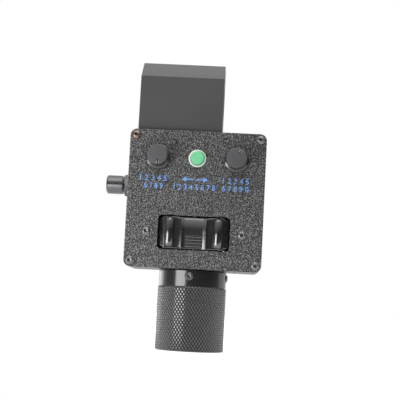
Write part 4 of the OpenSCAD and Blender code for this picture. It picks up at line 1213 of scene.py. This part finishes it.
back_turns = tightened(at_corners(STAND_X, STAND_Z, STAND_MIDDLE), 19)
make("back_heads", repeated(button_screw(M3_R, STAND_SCREW), back_turns), BACK, ["back_screws"])
socket_seat = BACK @ Matrix.Translation((-SOCKET_X, SOCKET_Z, 0))
ear_places = at_corners(EAR, EAR)
flange_holes = [circle(FLANGE_HOLE)] + [circle(EAR_HOLE, x, z, 32) for x, z in ear_places]
flange = prism(rectangle(FLANGE_W, FLANGE_W, FLANGE_R), 0, FLANGE_T, 0.4, flange_holes)
sleeve = hollow_lathe([(SLEEVE_BORE, SLEEVE_LOW, 0), (SLEEVE_R, SLEEVE_LOW, 0.1), (SLEEVE_R, SLEEVE_TOP, 0.5),
                       (SLEEVE_BORE, SLEEVE_TOP, 0.35)])
make("socket_sleeve", [flange, sleeve], socket_seat, ["socket_shell"])
contact_places = [(0, 0)] + circle(CONTACT_R, sides=6)
insert_holes = [circle(CONTACT_HOLE, x, z, 24) for x, z in contact_places]
insert = prism(circle(INSERT_R), SLEEVE_LOW, FLANGE_T, 0.2, insert_holes, 0.12)
make("socket_core", [insert], socket_seat, ["socket_insert"])
ear_turns = [(x, z, -EAR_TURN if x > 0 else EAR_TURN) for x, z in ear_places]
make("socket_heads", repeated(button_screw(EAR_SCREW_R, EAR_SCREW), ear_turns),
     socket_seat @ Matrix.Translation((0, 0, FLANGE_T)), ["socket_screws"])

# %% [markdown]
# ## Studio
#
# The background of the picture is plain white and the metal tells where the light was: a broad
# soft light from the lower left, a fainter one behind it, white paper at the back, a pale ceiling,
# and a dark room where the camera stood. A pale floor lies under the drum. It keeps the shadow, and
# a share of plain glow that only the camera and reflections see lifts it to white. It ends in front
# of the object, so that the glossy rocker mirrors the dark room there.


# %% Lights
def area_light(name, place, aim, width, height, radiance):
    lamp = bpy.data.lights.new(name, "AREA")
    lamp.shape, lamp.size, lamp.size_y = "RECTANGLE", width, height
    lamp.energy = radiance * math.pi * width * height
    made = new_object(name, lamp)
    made.location = place
    made.rotation_euler = (Vector(aim) - Vector(place)).to_track_quat("-Z", "Y").to_euler()
    made.visible_camera = False


for name, turn, far, height, wide, tall, radiance in (
        ("low_left", 38, 0.30, -0.132, 0.18, 0.106, 7.5),
        ("left_rim", 132, 0.35, -0.10, 0.22, 0.2, 2.0)):
    aim = Vector((AXIS.x / 1000, AXIS.y / 1000, height))
    way = Vector((math.sin(math.radians(turn)), math.cos(math.radians(turn)), 0))
    area_light(name, aim - way * far, aim, wide, tall, radiance)
area_light("ceiling", (0.013, -0.22, 0.36), (0.013, -0.029, -0.09), 0.4, 0.4, 1.4)
print("three lights")

# %% World and floor
FLOOR_FRONT, FLOOR_FAR = -400, 3000
world = bpy.data.worlds.new("studio")
bpy.context.scene.world = world
world.use_nodes = True
sky = Sums(world.node_tree)
heading = sky.node("ShaderNodeTexCoord", out="Generated")


def facing(way):
    return sky.node("ShaderNodeVectorMath", {"operation": "DOT_PRODUCT"}, {0: heading, 1: way}, out="Value")


def ray(tree, *kinds):
    """1 for rays of these kinds."""
    paths = tree.nodes.new("ShaderNodeLightPath").outputs
    return sum(Wire(tree, paths[f"Is {kind} Ray"]) for kind in kinds)


behind = sky.ramp(facing((0, 1, 0)), 0.1, 0.42)
above = sky.ramp(facing((0, 0, 1)), 0.15, 0.85)
left = sky.ramp(facing((-1, 0, 0)), -0.5, 0.6)
room = 0.05 + behind * 0.85 + above * 1.2 + left * 0.16
backdrop = ray(sky, "Camera") + ray(sky, "Glossy", "Transmission") * behind
sky.join(sky.nodes["Background"].inputs["Color"], sky.mix(backdrop, room, (1, 1, 1)))

floor_corners = [(-FLOOR_FAR, FLOOR_FRONT, 0), (FLOOR_FAR, FLOOR_FRONT, 0)]
floor_corners += [(FLOOR_FAR, FLOOR_FAR, 0), (-FLOOR_FAR, FLOOR_FAR, 0)]
floor_seat = seat((0, 0, 1000 * cad_box[0].z), (1, 0, 0), (0, 1, 0))
floor = new_object("floor", mesh_of("floor", [(floor_corners, [(0, 1, 2, 3)])], floor_seat))
paper = Finish("pale_floor", Base_Color=(0.62, 0.62, 0.62, 1), Roughness=0.9, Emission_Strength=0.55)
seen = ray(paper, "Camera", "Glossy", "Transmission")
paper.feed("Emission Color", paper.mix(seen, (0, 0, 0), (1, 1, 1)))
floor.data.materials.append(paper.material)
bpy.context.scene.view_settings.view_transform = "Standard"
print("world and floor ready")
